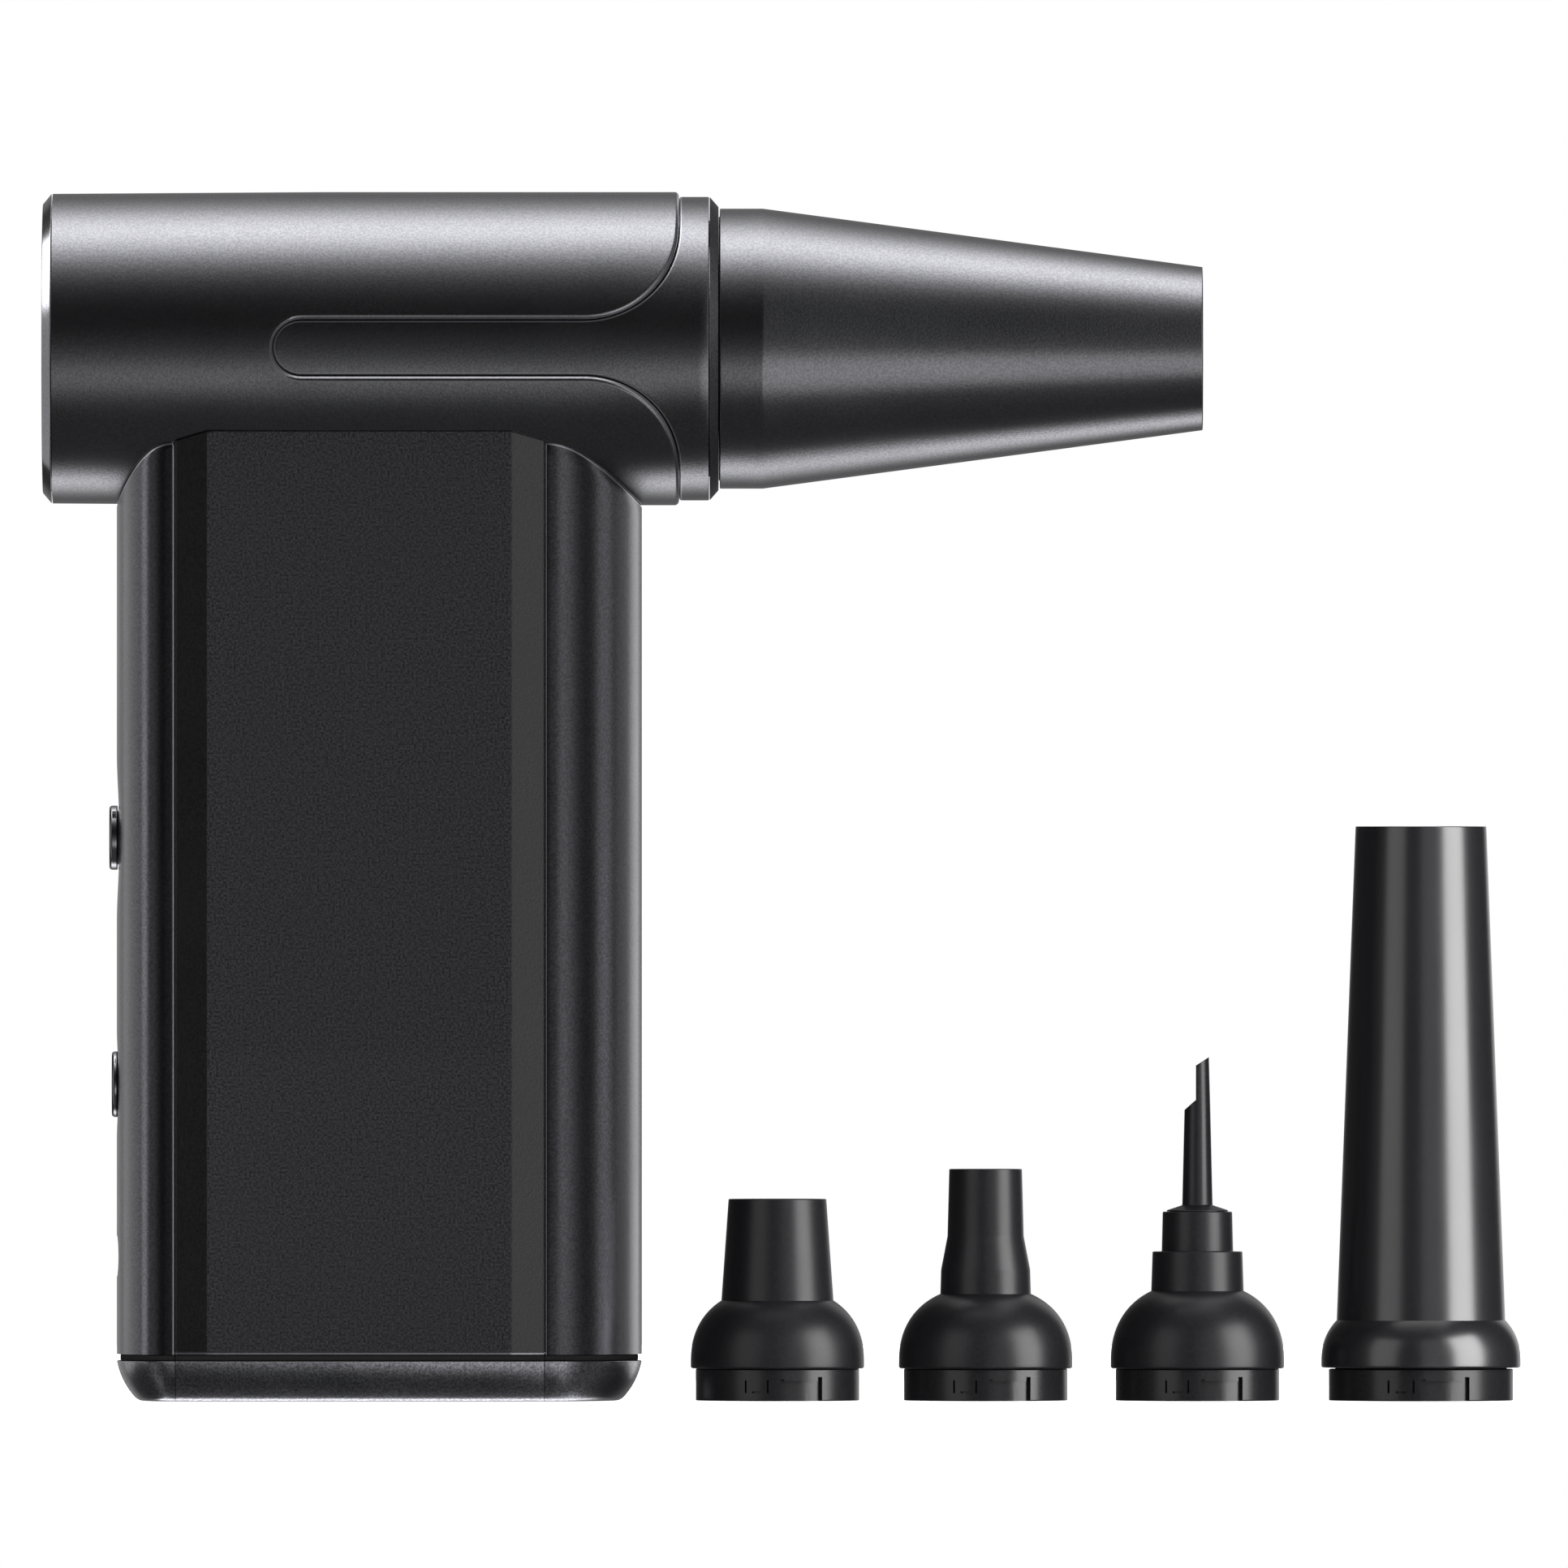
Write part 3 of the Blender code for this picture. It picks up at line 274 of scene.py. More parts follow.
def lathe_into(bm, profile, steps, frame_matrix):
    """Adds the solid that a closed loop of (radius, height) points makes round local Z."""
    rings = []
    for radius, height in profile:
        if radius < 1e-6:
            rings.append([bm.verts.new(frame_matrix @ Vector((0, 0, height)) * MM)])
            continue
        ring = []
        for step in range(steps):
            turn = 2 * math.pi * step / steps
            point = Vector((radius * math.cos(turn), radius * math.sin(turn), height))
            ring.append(bm.verts.new(frame_matrix @ point * MM))
        rings.append(ring)
    for lower, upper in zip(rings, rings[1:] + rings[:1]):
        if len(lower) == len(upper) == 1:
            continue
        for step in range(steps):
            after = (step + 1) % steps
            if len(lower) == 1:
                bm.faces.new((lower[0], upper[step], upper[after]))
            elif len(upper) == 1:
                bm.faces.new((lower[step], lower[after], upper[0]))
            else:
                bm.faces.new((lower[step], lower[after], upper[after], upper[step]))


ALONG_HEAD = Matrix.Translation((0, 0, HEAD_Z)) @ Matrix.Rotation(math.pi / 2, 4, "Y")


def finish_mesh(name, bm, material, sharp=34):
    """Turns a bmesh into a smooth-shaded object with one or more materials."""
    bmesh.ops.recalc_face_normals(bm, faces=bm.faces)
    mesh = bpy.data.meshes.new(name)
    bm.to_mesh(mesh)
    bm.free()
    mesh.shade_smooth()
    mesh.set_sharp_from_angle(angle=math.radians(sharp))
    for entry in material if isinstance(material, (list, tuple)) else [material]:
        mesh.materials.append(entry)
    made = bpy.data.objects.new(name, mesh)
    bpy.context.collection.objects.link(made)
    return made


def fit(piece, node, body):
    """The piece rides on a body and stands for a CAD node, which is hidden."""
    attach(piece, body)
    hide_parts(node)
    return piece


def turned(name, profile, material, round_mm=0.15, frame_matrix=ALONG_HEAD, steps=FINE):
    bm = bmesh.new()
    lathe_into(bm, soften(profile, round_mm), steps, frame_matrix)
    return finish_mesh(name, bm, material)


def cut(target, bm, name):
    """Applies a Boolean cut and removes the cutter."""
    cutter = finish_mesh(name, bm, target.data.materials[0])
    modifier = target.modifiers.new(name, "BOOLEAN")
    modifier.operation = "DIFFERENCE"
    modifier.solver = "MANIFOLD"
    modifier.object = cutter
    bpy.context.view_layer.update()
    graph = bpy.context.evaluated_depsgraph_get()
    mesh = bpy.data.meshes.new_from_object(target.evaluated_get(graph))
    target.modifiers.clear()
    target.data = mesh
    mesh.shade_smooth()
    mesh.set_sharp_from_angle(angle=math.radians(34))
    bpy.data.objects.remove(cutter)


def prism_into(bm, outline, low, high, frame_matrix=Matrix()):
    rims = []
    for z in (low, high):
        rims.append([bm.verts.new(frame_matrix @ Vector((x, y, z)) * MM) for x, y in outline])
        bm.faces.new(rims[-1])
    bridge(bm, rims)


def bridge(bm, rims, closed=True, slot=0):
    """Joins neighbouring rims of equally many points with faces that use the given material slot."""
    count = len(rims[0])
    for first, second in zip(rims, rims[1:]):
        for index in range(count if closed else count - 1):
            after = (index + 1) % count
            face = bm.faces.new((first[index], first[after], second[after], second[index]))
            face.material_index = slot


def sector_into(bm, inner_r, outer_r, start, end, low, high, steps=8):
    """Adds a piece of a ring between two angles in degrees."""
    rims = []
    for radius, height in ((outer_r, low), (outer_r, high), (inner_r, high), (inner_r, low)):
        turns = [math.radians(start + (end - start) * step / steps) for step in range(steps + 1)]
        rims.append([bm.verts.new(Vector((radius * math.cos(t), radius * math.sin(t), height)) * MM)
                     for t in turns])
    bridge(bm, rims + rims[:1], closed=False)
    bm.faces.new([rim[0] for rim in rims])
    bm.faces.new([rim[-1] for rim in rims])


# ---------------------------------------------------------------- sleeve and tongue

def field_edge(inset):
    """Front edge of the sleeve seen from one side, from top centre to bottom centre, as (x, angle).

    It runs down the sleeve's front, along the flare and the U-shaped field, and back; inset moves it into
    the field and forwards.
    """
    front_x = SLEEVE.x1 + inset
    half, reach = TONGUE_HALF - inset, FLARE_R + inset
    flare_z = TONGUE_HALF + FLARE_R
    upper = []
    top_turn = math.asin(flare_z / SLEEVE_R)
    for step in range(10):
        upper.append((front_x, math.pi / 2 + (top_turn - math.pi / 2) * step / 10))
    for step in range(25):
        turn = math.radians(90 - 90 * step / 24)
        x = min(FLARE_X + reach * math.sin(turn), front_x)
        upper.append((x, math.asin((flare_z - reach * math.cos(turn)) / SLEEVE_R)))
    straight = 26
    for step in range(1, straight):
        x = FLARE_X + (TONGUE_NOSE_X - FLARE_X) * step / straight
        upper.append((x, math.asin(half / SLEEVE_R)))
    nose = []
    for step in range(21):
        turn = math.radians(90 + 180 * step / 20)
        nose.append((TONGUE_NOSE_X + half * math.cos(turn), math.asin(half * math.sin(turn) / SLEEVE_R)))
    lower = [(x, -angle) for x, angle in reversed(upper)]
    return upper + nose + lower


def half_turn(rows):
    """Angles from straight down to straight up."""
    return [-math.pi / 2 + math.pi * step / rows for step in range(rows + 1)]


def skin_point(x, angle, radius, side):
    """A point on the barrel: angle is above the horizontal on the -Y side (side 1) or the +Y side."""
    return Vector((x, -side * radius * math.cos(angle), HEAD_Z + radius * math.sin(angle))) * MM


def fill_region(bm, loop, radius_at, side):
    """Fills the region inside a closed loop of (x, angle) points with a fine triangulation of the skin."""
    flat = [Vector((x, angle * SLEEVE_R)) for x, angle in loop]
    count = len(flat)
    low_x, high_x = min(p.x for p in flat), max(p.x for p in flat)
    high_s = math.pi / 2 * SLEEVE_R
    grid = []
    rows, columns = 30, 46
    for row in range(1, rows):
        for column in range(1, columns):
            grid.append(Vector((low_x + (high_x - low_x) * column / columns,
                                -high_s + 2 * high_s * row / rows)))
    edges = [(index, (index + 1) % count) for index in range(count)]
    points, _, faces, *_ = delaunay_2d_cdt(flat + grid, edges, [list(range(count))], 1, 1e-5)
    verts = []
    for point in points:
        angle = max(-math.pi / 2, min(math.pi / 2, point.y / SLEEVE_R))
        verts.append(bm.verts.new(skin_point(point.x, angle, radius_at(point.x), side)))
    for face in faces:
        bm.faces.new([verts[index] for index in face])


def edge_strip(bm, line, steps, side, bright=()):
    """Joins copies of an edge line at successive (inset, radius) steps, so an edge can roll over.

    The rows of faces listed in bright get the lighter edge finish, which paints a highlight line.
    """
    rims = []
    for inset, radius in steps:
        rims.append([bm.verts.new(skin_point(x, angle, radius(x) if callable(radius) else radius, side))
                     for x, angle in line(inset)])
    for row, pair in enumerate(zip(rims, rims[1:])):
        bridge(bm, pair, closed=False, slot=1 if row in bright else 0)


def sleeve_radius(x):
    """The sleeve is a little slimmer towards the rear."""
    share = max(0.0, min(1.0, (x - SLEEVE.x0) / 37.2))
    return SLEEVE_R - 0.24 * (1 - share)


def side_edges(x0, x1, count):
    """Points along a straight line of x values."""
    return [x0 + (x1 - x0) * step / count for step in range(1, count)]


def make_sleeve(materials):
    """Outer sleeve with a rolled edge round the U-shaped field on each side."""
    rear_x, rows = SLEEVE.x0, 30
    bore = 19.6
    roll = [(-0.28, sleeve_radius), (-0.12, sleeve_radius), (0.1, SLEEVE_R - 0.06), (0.3, SLEEVE_R - 0.24),
            (0.42, SLEEVE_R - 0.5), (0.44, SLEEVE_R - 0.8), (0.44, bore)]
    bm = bmesh.new()
    for side in (1, -1):
        for inset, radius_at in (roll[0], (roll[-1][0], lambda x: bore)):
            edge = field_edge(inset)
            bottom = [(x, -math.pi / 2) for x in side_edges(edge[-1][0], rear_x, 40)]
            back = [(rear_x, angle) for angle in half_turn(rows)]
            top = [(x, math.pi / 2) for x in side_edges(rear_x, edge[0][0], 40)]
            fill_region(bm, edge + bottom + back + top, radius_at, side)
        # rows 2 and 3 of the roll take the edge finish: a painted highlight line along the sleeve's edge
        edge_strip(bm, field_edge, roll, side, (2, 3))
        rims = [[bm.verts.new(skin_point(rear_x, angle, radius, side)) for angle in half_turn(rows)]
                for radius in (sleeve_radius(rear_x), bore)]
        bridge(bm, rims, closed=False)
    bmesh.ops.remove_doubles(bm, verts=bm.verts, dist=2e-6)
    made = finish_mesh("outer_sleeve_skin", bm, [materials["sleeve"], materials["edge"]])
    fit(made, "outer_sleeve", "blower")


def make_inner_barrel(materials):
    """Front collar with the two tongues that fill the sleeve's fields, and the barrel tube inside."""
    front_x, rows, floor, bevel = BARREL.x1, 30, 19.5, 0.16
    step_edge = [(0.5, floor), (0.5, COLLAR_R - 0.2), (0.56, COLLAR_R - 0.09), (0.68, COLLAR_R - 0.02),
                 (0.82, COLLAR_R), (0.95, COLLAR_R)]
    nose = [(0.0, COLLAR_R), (0.1, COLLAR_R - 0.03), (bevel, COLLAR_R - 0.15), (bevel, floor)]
    bm = bmesh.new()
    for side in (1, -1):
        for inset, radius, back in ((step_edge[-1][0], COLLAR_R, 0.0), (step_edge[0][0], floor, bevel)):
            edge = field_edge(inset)
            end_x = front_x - bevel + back
            top = [(x, math.pi / 2) for x in side_edges(end_x, edge[0][0], 6)]
            bottom = [(x, -math.pi / 2) for x in side_edges(edge[-1][0], end_x, 6)]
            front = [(end_x, angle) for angle in half_turn(rows)]
            fill_region(bm, edge + bottom + front + top, lambda x, r=radius: r, side)
        # rows 1 to 3 of the step take the edge finish: a painted highlight line along the tongue's edge
        edge_strip(bm, field_edge, step_edge, side, (1, 2, 3))
        rims = [[bm.verts.new(skin_point(front_x - bevel + ahead, angle, radius, side))
                 for angle in half_turn(rows)] for ahead, radius in nose]
        bridge(bm, rims, closed=False)
    bmesh.ops.remove_doubles(bm, verts=bm.verts, dist=2e-6)
    rib, end = SLEEVE.x1 + 0.46, front_x - 0.3
    tube_r, bore_r, rib_r = 19.3, 17.8, 20.5
    lathe_into(bm, [(tube_r, BARREL.x0), (tube_r, rib), (rib_r, rib), (rib_r, rib + 0.4), (tube_r, rib + 0.4),
                    (tube_r, end), (bore_r, end), (bore_r, BARREL.x0)], FINE, ALONG_HEAD)
    made = finish_mesh("inner_barrel_skin", bm, [materials["anodised"], materials["edge"]])
    fit(made, "inner_barrel", "blower")


def make_rings(materials):
    """Polished rings at the two ends of the barrel."""
    rear, front = INTAKE.x0, INTAKE.x0 + 1.21
    rear_r = (INTAKE.z1 - INTAKE.z0) / 2
    plug_r, bore_r = 17.5, 16.3
    intake = [(19.75, rear), (rear_r, front), (plug_r, front), (plug_r, INTAKE.x1), (bore_r, INTAKE.x1),
              (bore_r, rear + 0.7), (17.0, rear)]
    fit(turned("intake_ring_turned", intake, materials["polished"], 0.12), "intake_ring", "blower")
    back, slant = COLLAR.x0 + 1.82, 1.4
    outlet_r, seat_x = 13.2, 45.3
    collar = [(COLLAR_R, back), (COLLAR_R - slant, COLLAR.x1), (outlet_r, COLLAR.x1), (outlet_r, seat_x),
              (bore_r, seat_x), (bore_r, COLLAR.x0), (plug_r, COLLAR.x0), (plug_r, back)]
    # the chamfer's faces get the darker copy of the polished metal, painted shade
    made = turned("collar_ring_turned", collar, [materials["polished"], materials["chamfer"]], 0.1)
    slope = Vector((slant, COLLAR.x1 - back)).normalized().x
    for face in made.data.polygons:
        if abs(face.normal.x - slope) < 0.03:
            face.material_index = 1
    fit(made, "collar_ring", "blower")


def make_cone(materials):
    """Cone nozzle skin, and the liner whose back end is the bayonet ring."""
    tip_r, wall = 11.17, 1.0
    shoulder_x = CONE.x0 + 5.8
    back_x = CONE.x0 - 0.1
    skin = [(CONE_R, back_x), (CONE_R, shoulder_x), (tip_r, CONE.x1), (tip_r - wall, CONE.x1),
            (CONE_R - wall, shoulder_x), (CONE_R - wall, back_x)]
    made = turned("cone_skin", skin, materials["anodised"], 0.16)
    fit(made, "cone_shell", "cone_nozzle")
    ring_r, bore_r, mouth = 11.2, 9.9, LINER.x0
    tip_x, end_r = LINER.x1, tip_r - wall - 0.3
    flange_x, neck_x = COLLAR.x1 + 0.03, CONE.x0 + 3.0
    liner = [(ring_r, mouth), (ring_r, flange_x), (CONE_R - wall - 0.1, flange_x),
             (CONE_R - wall - 0.1, CONE.x0 + 1.6), (bore_r + 0.85, neck_x), (end_r, tip_x - 6),
             (end_r, tip_x), (9.0, tip_x), (bore_r, neck_x), (bore_r, mouth)]
    made = turned("cone_liner_turned", liner, materials["plastic"], 0.12, Matrix(), 120)
    bayonet_slots(made, mouth, 10.55, ring_r + 2, 1)
    made.data.transform(Matrix.Translation((0, 0, HEAD_Z * MM)) @ Matrix.Rotation(math.pi / 2, 4, "Y"))
    fit(made, "cone_liner", "cone_nozzle")


def bayonet_slots(target, mouth, floor_r, open_r, turn_way):
    """Three L-shaped slots in a bayonet ring whose axis is local Z; mouth is the height of its open end."""
    for start, end, near, far in ((-12, 12, -1.0, 2.9), (9, 31.5, 1.1, 2.9)):
        bm = bmesh.new()
        for slot in range(3):
            angles = sorted((120 * slot + turn_way * start, 120 * slot + turn_way * end))
            sector_into(bm, floor_r, open_r, angles[0], angles[1], mouth + near, mouth + far)
        cut(target, bm, f"slot_{start}")


# ---------------------------------------------------------------- grip

def end_curve(seam_x, depth, half, power, inset, forward, steps=56):
    """One rounded end of the grip's plan, from one seam to the other."""
    points = []
    for step in range(steps + 1):
        turn = math.pi * step / steps - math.pi / 2
        reach = math.cos(turn) ** (2 / power) if 0 < step < steps else 0.0
        side = math.copysign(abs(math.sin(turn)) ** (2 / power), math.sin(turn))
        points.append((seam_x + forward * (depth - inset) * reach, forward * (half - inset) * side))
    return points


def front_curve(inset=0.0):
    return end_curve(FRONT_SEAM_X, FRONT.x1 - FRONT_SEAM_X, GRIP_HALF, FRONT_POWER, inset, 1)


def rear_curve(inset=0.0):
    return end_curve(REAR_SEAM_X, REAR_SEAM_X - REAR.x0, GRIP_HALF, REAR_POWER, inset, -1)


def grip_top(y, gap=0.08):
    """Height at which the grip meets the underside of the barrel."""
    radius = SLEEVE_R + gap
    return HEAD_Z - math.sqrt(max(0.0, radius ** 2 - y ** 2))


def dish(piece_y, piece_z):
    """Depth of the shallow finger dishes round the two buttons on the rear face."""
    depth = 0.0
    for centre_z, radius, deep in ((POWER_Z, 11.5, 0.38), (SPEED_Z, 7.5, 0.3)):
        share = math.hypot(piece_y, piece_z - centre_z) / radius
        if share < 1:
            depth = max(depth, deep * (1 - share ** 2) ** 2)
    return depth


POWER_Z = Span("power_button").centre.z
SPEED_Z = Span("speed_button").centre.z
PORT_Z = Span("charge_port").centre.z


SHELL_TALL, SHELL_HALF = 120, 18               # about a shell's height and half its width


def shell_mesh(outer, inner, low, rows, dent=None):
    """Channel-shaped shell between two plan curves, cut off by the barrel at the top."""
    bm = bmesh.new()
    walls = []
    middle_x = outer[0][0]
    for curve, dented in ((outer, dent), (inner, None)):
        rims = []
        levels = [(row / rows, 0.0) for row in range(rows)]
        turn_in = (0.0, 0.07, 0.25) if curve is outer else (0.0, 0.0, 0.0)
        levels += zip((1 - 0.3 / SHELL_TALL, 1 - 0.1 / SHELL_TALL, 1), turn_in)
        for share, drop in levels:
            rim = []
            shrink = 1 - drop / SHELL_HALF
            for x, y in curve:
                z = low + (grip_top(y) - low) * share
                shift = dented(y, z) if dented else 0.0
                point = Vector(((x - middle_x) * shrink + middle_x + shift, y * shrink, z))
                rim.append(bm.verts.new(point * MM))
            rims.append(rim)
        bridge(bm, rims, closed=False)
        walls.append(rims)
    for row in (0, -1):
        bridge(bm, [walls[0][row], walls[1][row]], closed=False)
    for column in (0, -1):
        bridge(bm, [[rim[column] for rim in walls[0]], [rim[column] for rim in walls[1]]], closed=False)
    return bm


def rounded_ends(curve, seam_x, forward, half):
    """Plan curve whose two ends turn in a little at the seams."""
    first = curve[0]
    start = [(seam_x + forward * ahead, first[1] - math.copysign(drop, first[1]))
             for ahead, drop in ((0.04, 0.8), (0.04, 0.3), (0.12, 0.11), (0.28, 0.02))]
    end = [(x, -y) for x, y in reversed(start)]
    body = [(seam_x + forward * 0.42, first[1])] + curve[1:-1] + [(seam_x + forward * 0.42, -first[1])]
    return start + body + end


def paint_edge_highlights(shell, seam_x):
    """Paints highlight lines: gives the rounded edges at the seams and along the barrel the lighter edge
    finish.
    """
    for face in shell.data.polygons:
        x, y, z = face.center / MM
        by_seam = abs(x - seam_x) < 0.25 and abs(y) > GRIP_HALF - 0.4
        by_barrel = z > grip_top(y) - 0.3 and abs(face.normal.z) > 0.1 and abs(face.normal.z) < 0.9
        if by_seam or by_barrel:
            face.material_index = 1


def make_front_grip(materials):
    outer = rounded_ends(front_curve(), FRONT_SEAM_X, 1, GRIP_HALF)
    inner = match_inner(front_curve(1.8), len(outer))
    shell = finish_mesh("front_grip_shell", shell_mesh(outer, inner, FRONT.z0, 60),
                        [materials["grip"], materials["edge"]])
    paint_edge_highlights(shell, FRONT_SEAM_X)
    fit(shell, "front_grip", "blower")


def match_inner(curve, count):
    """Pads a plan curve with points along its ends so that it has as many as the outer one."""
    extra = (count - len(curve)) // 2
    start = [(curve[0][0], curve[0][1] * (1 - 0.002 * (extra - index))) for index in range(extra)]
    end = [(x, -y) for x, y in reversed(start)]
    return start + curve + end


def make_rear_grip(materials):
    """Rear shell with finger dishes, button holes and the charge port's recess."""
    outer = rounded_ends(rear_curve(), REAR_SEAM_X, -1, GRIP_HALF)
    inner = match_inner(rear_curve(1.8), len(outer))
    shell = finish_mesh("rear_grip_shell", shell_mesh(outer, inner, REAR.z0, 130, dish),
                        [materials["grip"], materials["edge"]])
    facing = Matrix.Translation((REAR.x0, 0, 0)) @ Matrix.Rotation(math.pi / 2, 4, "Y")
    for label, z, radius in (("power", POWER_Z, 4.66), ("speed", SPEED_Z, 4.76)):
        bm = bmesh.new()
        place = Matrix.Translation((0, 0, z)) @ facing
        lathe_into(bm, [(0, -3), (radius, -3), (radius, 4), (0, 4)], 64, place)
        cut(shell, bm, f"{label}_hole")
    for label, length, height, low, high in (("recess", 12.0, 5.67, -2, 0.4), ("hole", 9.6, 3.86, -3, 4)):
        bm = bmesh.new()
        place = Matrix.Translation((0, 0, PORT_Z)) @ facing @ Matrix.Rotation(math.pi / 2, 4, "Z")
        prism_into(bm, stadium(length / 2, height / 2), low, high, place)
        cut(shell, bm, f"port_{label}")
    paint_edge_highlights(shell, REAR_SEAM_X)
    fit(shell, "rear_grip", "blower")


def stadium(half_length, radius, steps=16):
    """Slot outline: two half circles joined by straight sides along X."""
    points = []
    for centre, start in ((half_length - radius, -90), (radius - half_length, 90)):
        for step in range(steps + 1):
            turn = math.radians(start + 180 * step / steps)
            points.append((centre + radius * math.cos(turn), radius * math.sin(turn)))
    return points


def make_panels(materials):
    """Side panels: a flat textured field between two bevelled strips."""
    back = PANEL_HALF - 1.9
    gap = 0.04
    face = [(REAR_SEAM_X + gap, back), (REAR_SEAM_X + gap, SEAM_HALF), (REAR_EDGE_X, PANEL_HALF),
            (FRONT_EDGE_X, PANEL_HALF), (FRONT_SEAM_X - gap, SEAM_HALF), (FRONT_SEAM_X - gap, back)]
    outline = soften(face, 0.2, closed=False)
    rows, low, lip = 24, REAR.z0 + 0.03, 0.36
    for name, side in (("left_panel", 1), ("right_panel", -1)):
        bm = bmesh.new()
        rims = []
        levels = [0.0, (lip - 0.12) / 126, lip / 126] + [row / rows for row in range(1, rows)] + [0.9988, 1.0]
        for level, share in enumerate(levels):
            pull = 0.2 if level in (0, 1, len(levels) - 1) else 0.0
            rim = []
            for x, y in outline:
                z = low + (grip_top(y) - low) * share
                rim.append(bm.verts.new(Vector((x, (y - pull) * side, z)) * MM))
            rims.append(rim)
        bridge(bm, rims)
        bm.faces.new(rims[0])
        bm.faces.new(rims[-1])
        bm.normal_update()
        for piece_face in bm.faces:
            x, _, z = piece_face.calc_center_median() / MM
            middle = REAR_EDGE_X < x < FRONT_EDGE_X
            # the lip at the panel's foot takes the edge finish, a painted highlight line
            piece_face.material_index = 2 if low + 0.05 < z < low + lip else 0 if middle else 1
        # the bevel strips take the darker copy of the panel finish, painted shade
        finishes = [materials["panel"], materials["bevel"], materials["edge"]]
        made = finish_mesh(f"{name}_plate", bm, finishes, 8)
        fit(made, name, "blower")


def grip_outline(inset):
    """The whole plan of the grip, with small steps where the panels' seams carry on into the cap."""
    face = PANEL_HALF - inset
    half = GRIP_HALF - inset
    front, rear = front_curve(inset), rear_curve(inset)
    groove = 0.07
    side = [(FRONT_SEAM_X - 0.06, half - groove), (FRONT_SEAM_X - 0.12, SEAM_HALF - inset),
            (FRONT_EDGE_X, face), (REAR_EDGE_X, face),
            (REAR_SEAM_X + 0.12, SEAM_HALF - inset), (REAR_SEAM_X + 0.06, half - groove)]
    return front + side + rear + [(x, -y) for x, y in reversed(side)]


def cap_inset(z):
    """How far the cap's side has turned in at a height: an arc that starts already tilted."""
    radius, tilt = 10.0, math.radians(10)
    turn = math.asin(math.sin(tilt) + (CAP.z1 - z) / radius)
    return radius * (math.cos(tilt) - math.cos(turn))


def make_base(materials):
    """Cap with a rounded lower edge, and the gasket in the shadow gap above it."""
    wall, count, brim = 1.8, 16, 0.07
    rims = []
    bm = bmesh.new()
    foot = 0.5
    levels = []
    for step in range(7):
        z = foot * (1 - math.cos(math.pi / 2 * step / 6))
        levels.append((cap_inset(z) + foot - math.sqrt(foot ** 2 - (foot - z) ** 2), z))
    levels += [(cap_inset(z), z) for z in (foot + (CAP.z1 - foot - brim) * step / count
                                           for step in range(1, count + 1))]
    levels += [(0.04, CAP.z1 - 0.03), (0.12, CAP.z1), (wall, CAP.z1), (wall, 3.0)]
    for inset, z in levels:
        rims.append([bm.verts.new(Vector((x, y, z)) * MM) for x, y in grip_outline(inset)])
    bridge(bm, rims)
    bm.faces.new(rims[0])
    bm.faces.new(rims[-1])
    cap = finish_mesh("base_cap_moulding", bm, materials["cap"])
    screws = [Span(f"base_screw_{number}").centre for number in range(1, 5)]
    for label, radius, low, high in (("heads", 2.7, -1, 1.8), ("shanks", 1.5, 0.9, 4)):
        bm = bmesh.new()
        for centre in screws:
            lathe_into(bm, [(0, low), (radius, low), (radius, high), (0, high)], 40,
                       Matrix.Translation((centre.x, centre.y, 0)))
        cut(cap, bm, f"screw_{label}")
    fit(cap, "base_cap", "blower")
    bm = bmesh.new()
    low, high = CAP.z1 + 0.03, REAR.z0 - 0.03
    rims = [[bm.verts.new(Vector((x, y, z)) * MM) for x, y in grip_outline(inset)]
            for inset, z in ((0.62, low), (0.5, low + 0.12), (0.5, high - 0.12), (0.62, high), (2.6, high),
                             (2.6, low))]
    bridge(bm, rims + rims[:1])
    fit(finish_mesh("base_gasket_strip", bm, materials["rubber"]), "base_gasket", "blower")


# ---------------------------------------------------------------- buttons

def make_buttons(materials):
    """Each button: a domed black cap inside a bright ring that moves with it."""
    for name, z, radius, proud in (("power_button", POWER_Z, 4.4, 1.0), ("speed_button", SPEED_Z, 4.5, 0.67)):
        place = Matrix.Translation((REAR.x0, 0, z)) @ Matrix.Rotation(math.pi / 2, 4, "Y")
        face_r = radius - 0.75
        dome = [(face_r * math.sin(math.radians(turn)), 0.27 - proud - 0.12 * math.cos(math.radians(turn)))
                for turn in range(0, 90, 10)]
        cap = dome + [(face_r, 0.45 - proud), (face_r, 0.25), (radius, 0.25), (radius, 2.1),
                      (radius + 1.2, 2.1), (radius + 1.2, 2.9), (1.5, 2.9), (1.5, 3.85), (0, 3.85)]
        bm = bmesh.new()
        lathe_into(bm, cap, 72, place)
        fit(finish_mesh(f"{name}_cap", bm, materials["plastic"]), name, name)
        ring = [(face_r + 0.15, 0.1), (face_r + 0.15, 0.15 - proud), (face_r + 0.4, -proud),
                (radius - 0.2, -proud), (radius, 0.3 - proud), (radius, 0.1)]
        fit(turned(f"{name}_bezel", ring, materials["chrome"], 0.12, place, 72), f"{name}_ring", name)


# ---------------------------------------------------------------- spare nozzles

BALL_POWER = 2.3


def ball_profile(radius, foot_z, start_z, neck_r, full_rise, steps=22):
    """Bulging shoulder of a nozzle: a superellipse from its widest band in to a neck radius."""
    rise = full_rise * (1 - (neck_r / radius) ** BALL_POWER) ** (1 / BALL_POWER)
    points = [(radius, foot_z)]
    for step in range(steps + 1):
        height = rise * math.sin(math.pi / 2 * step / steps)
        width = radius * (1 - (height / full_rise) ** BALL_POWER) ** (1 / BALL_POWER)
        points.append((width, start_z + height))
    return points


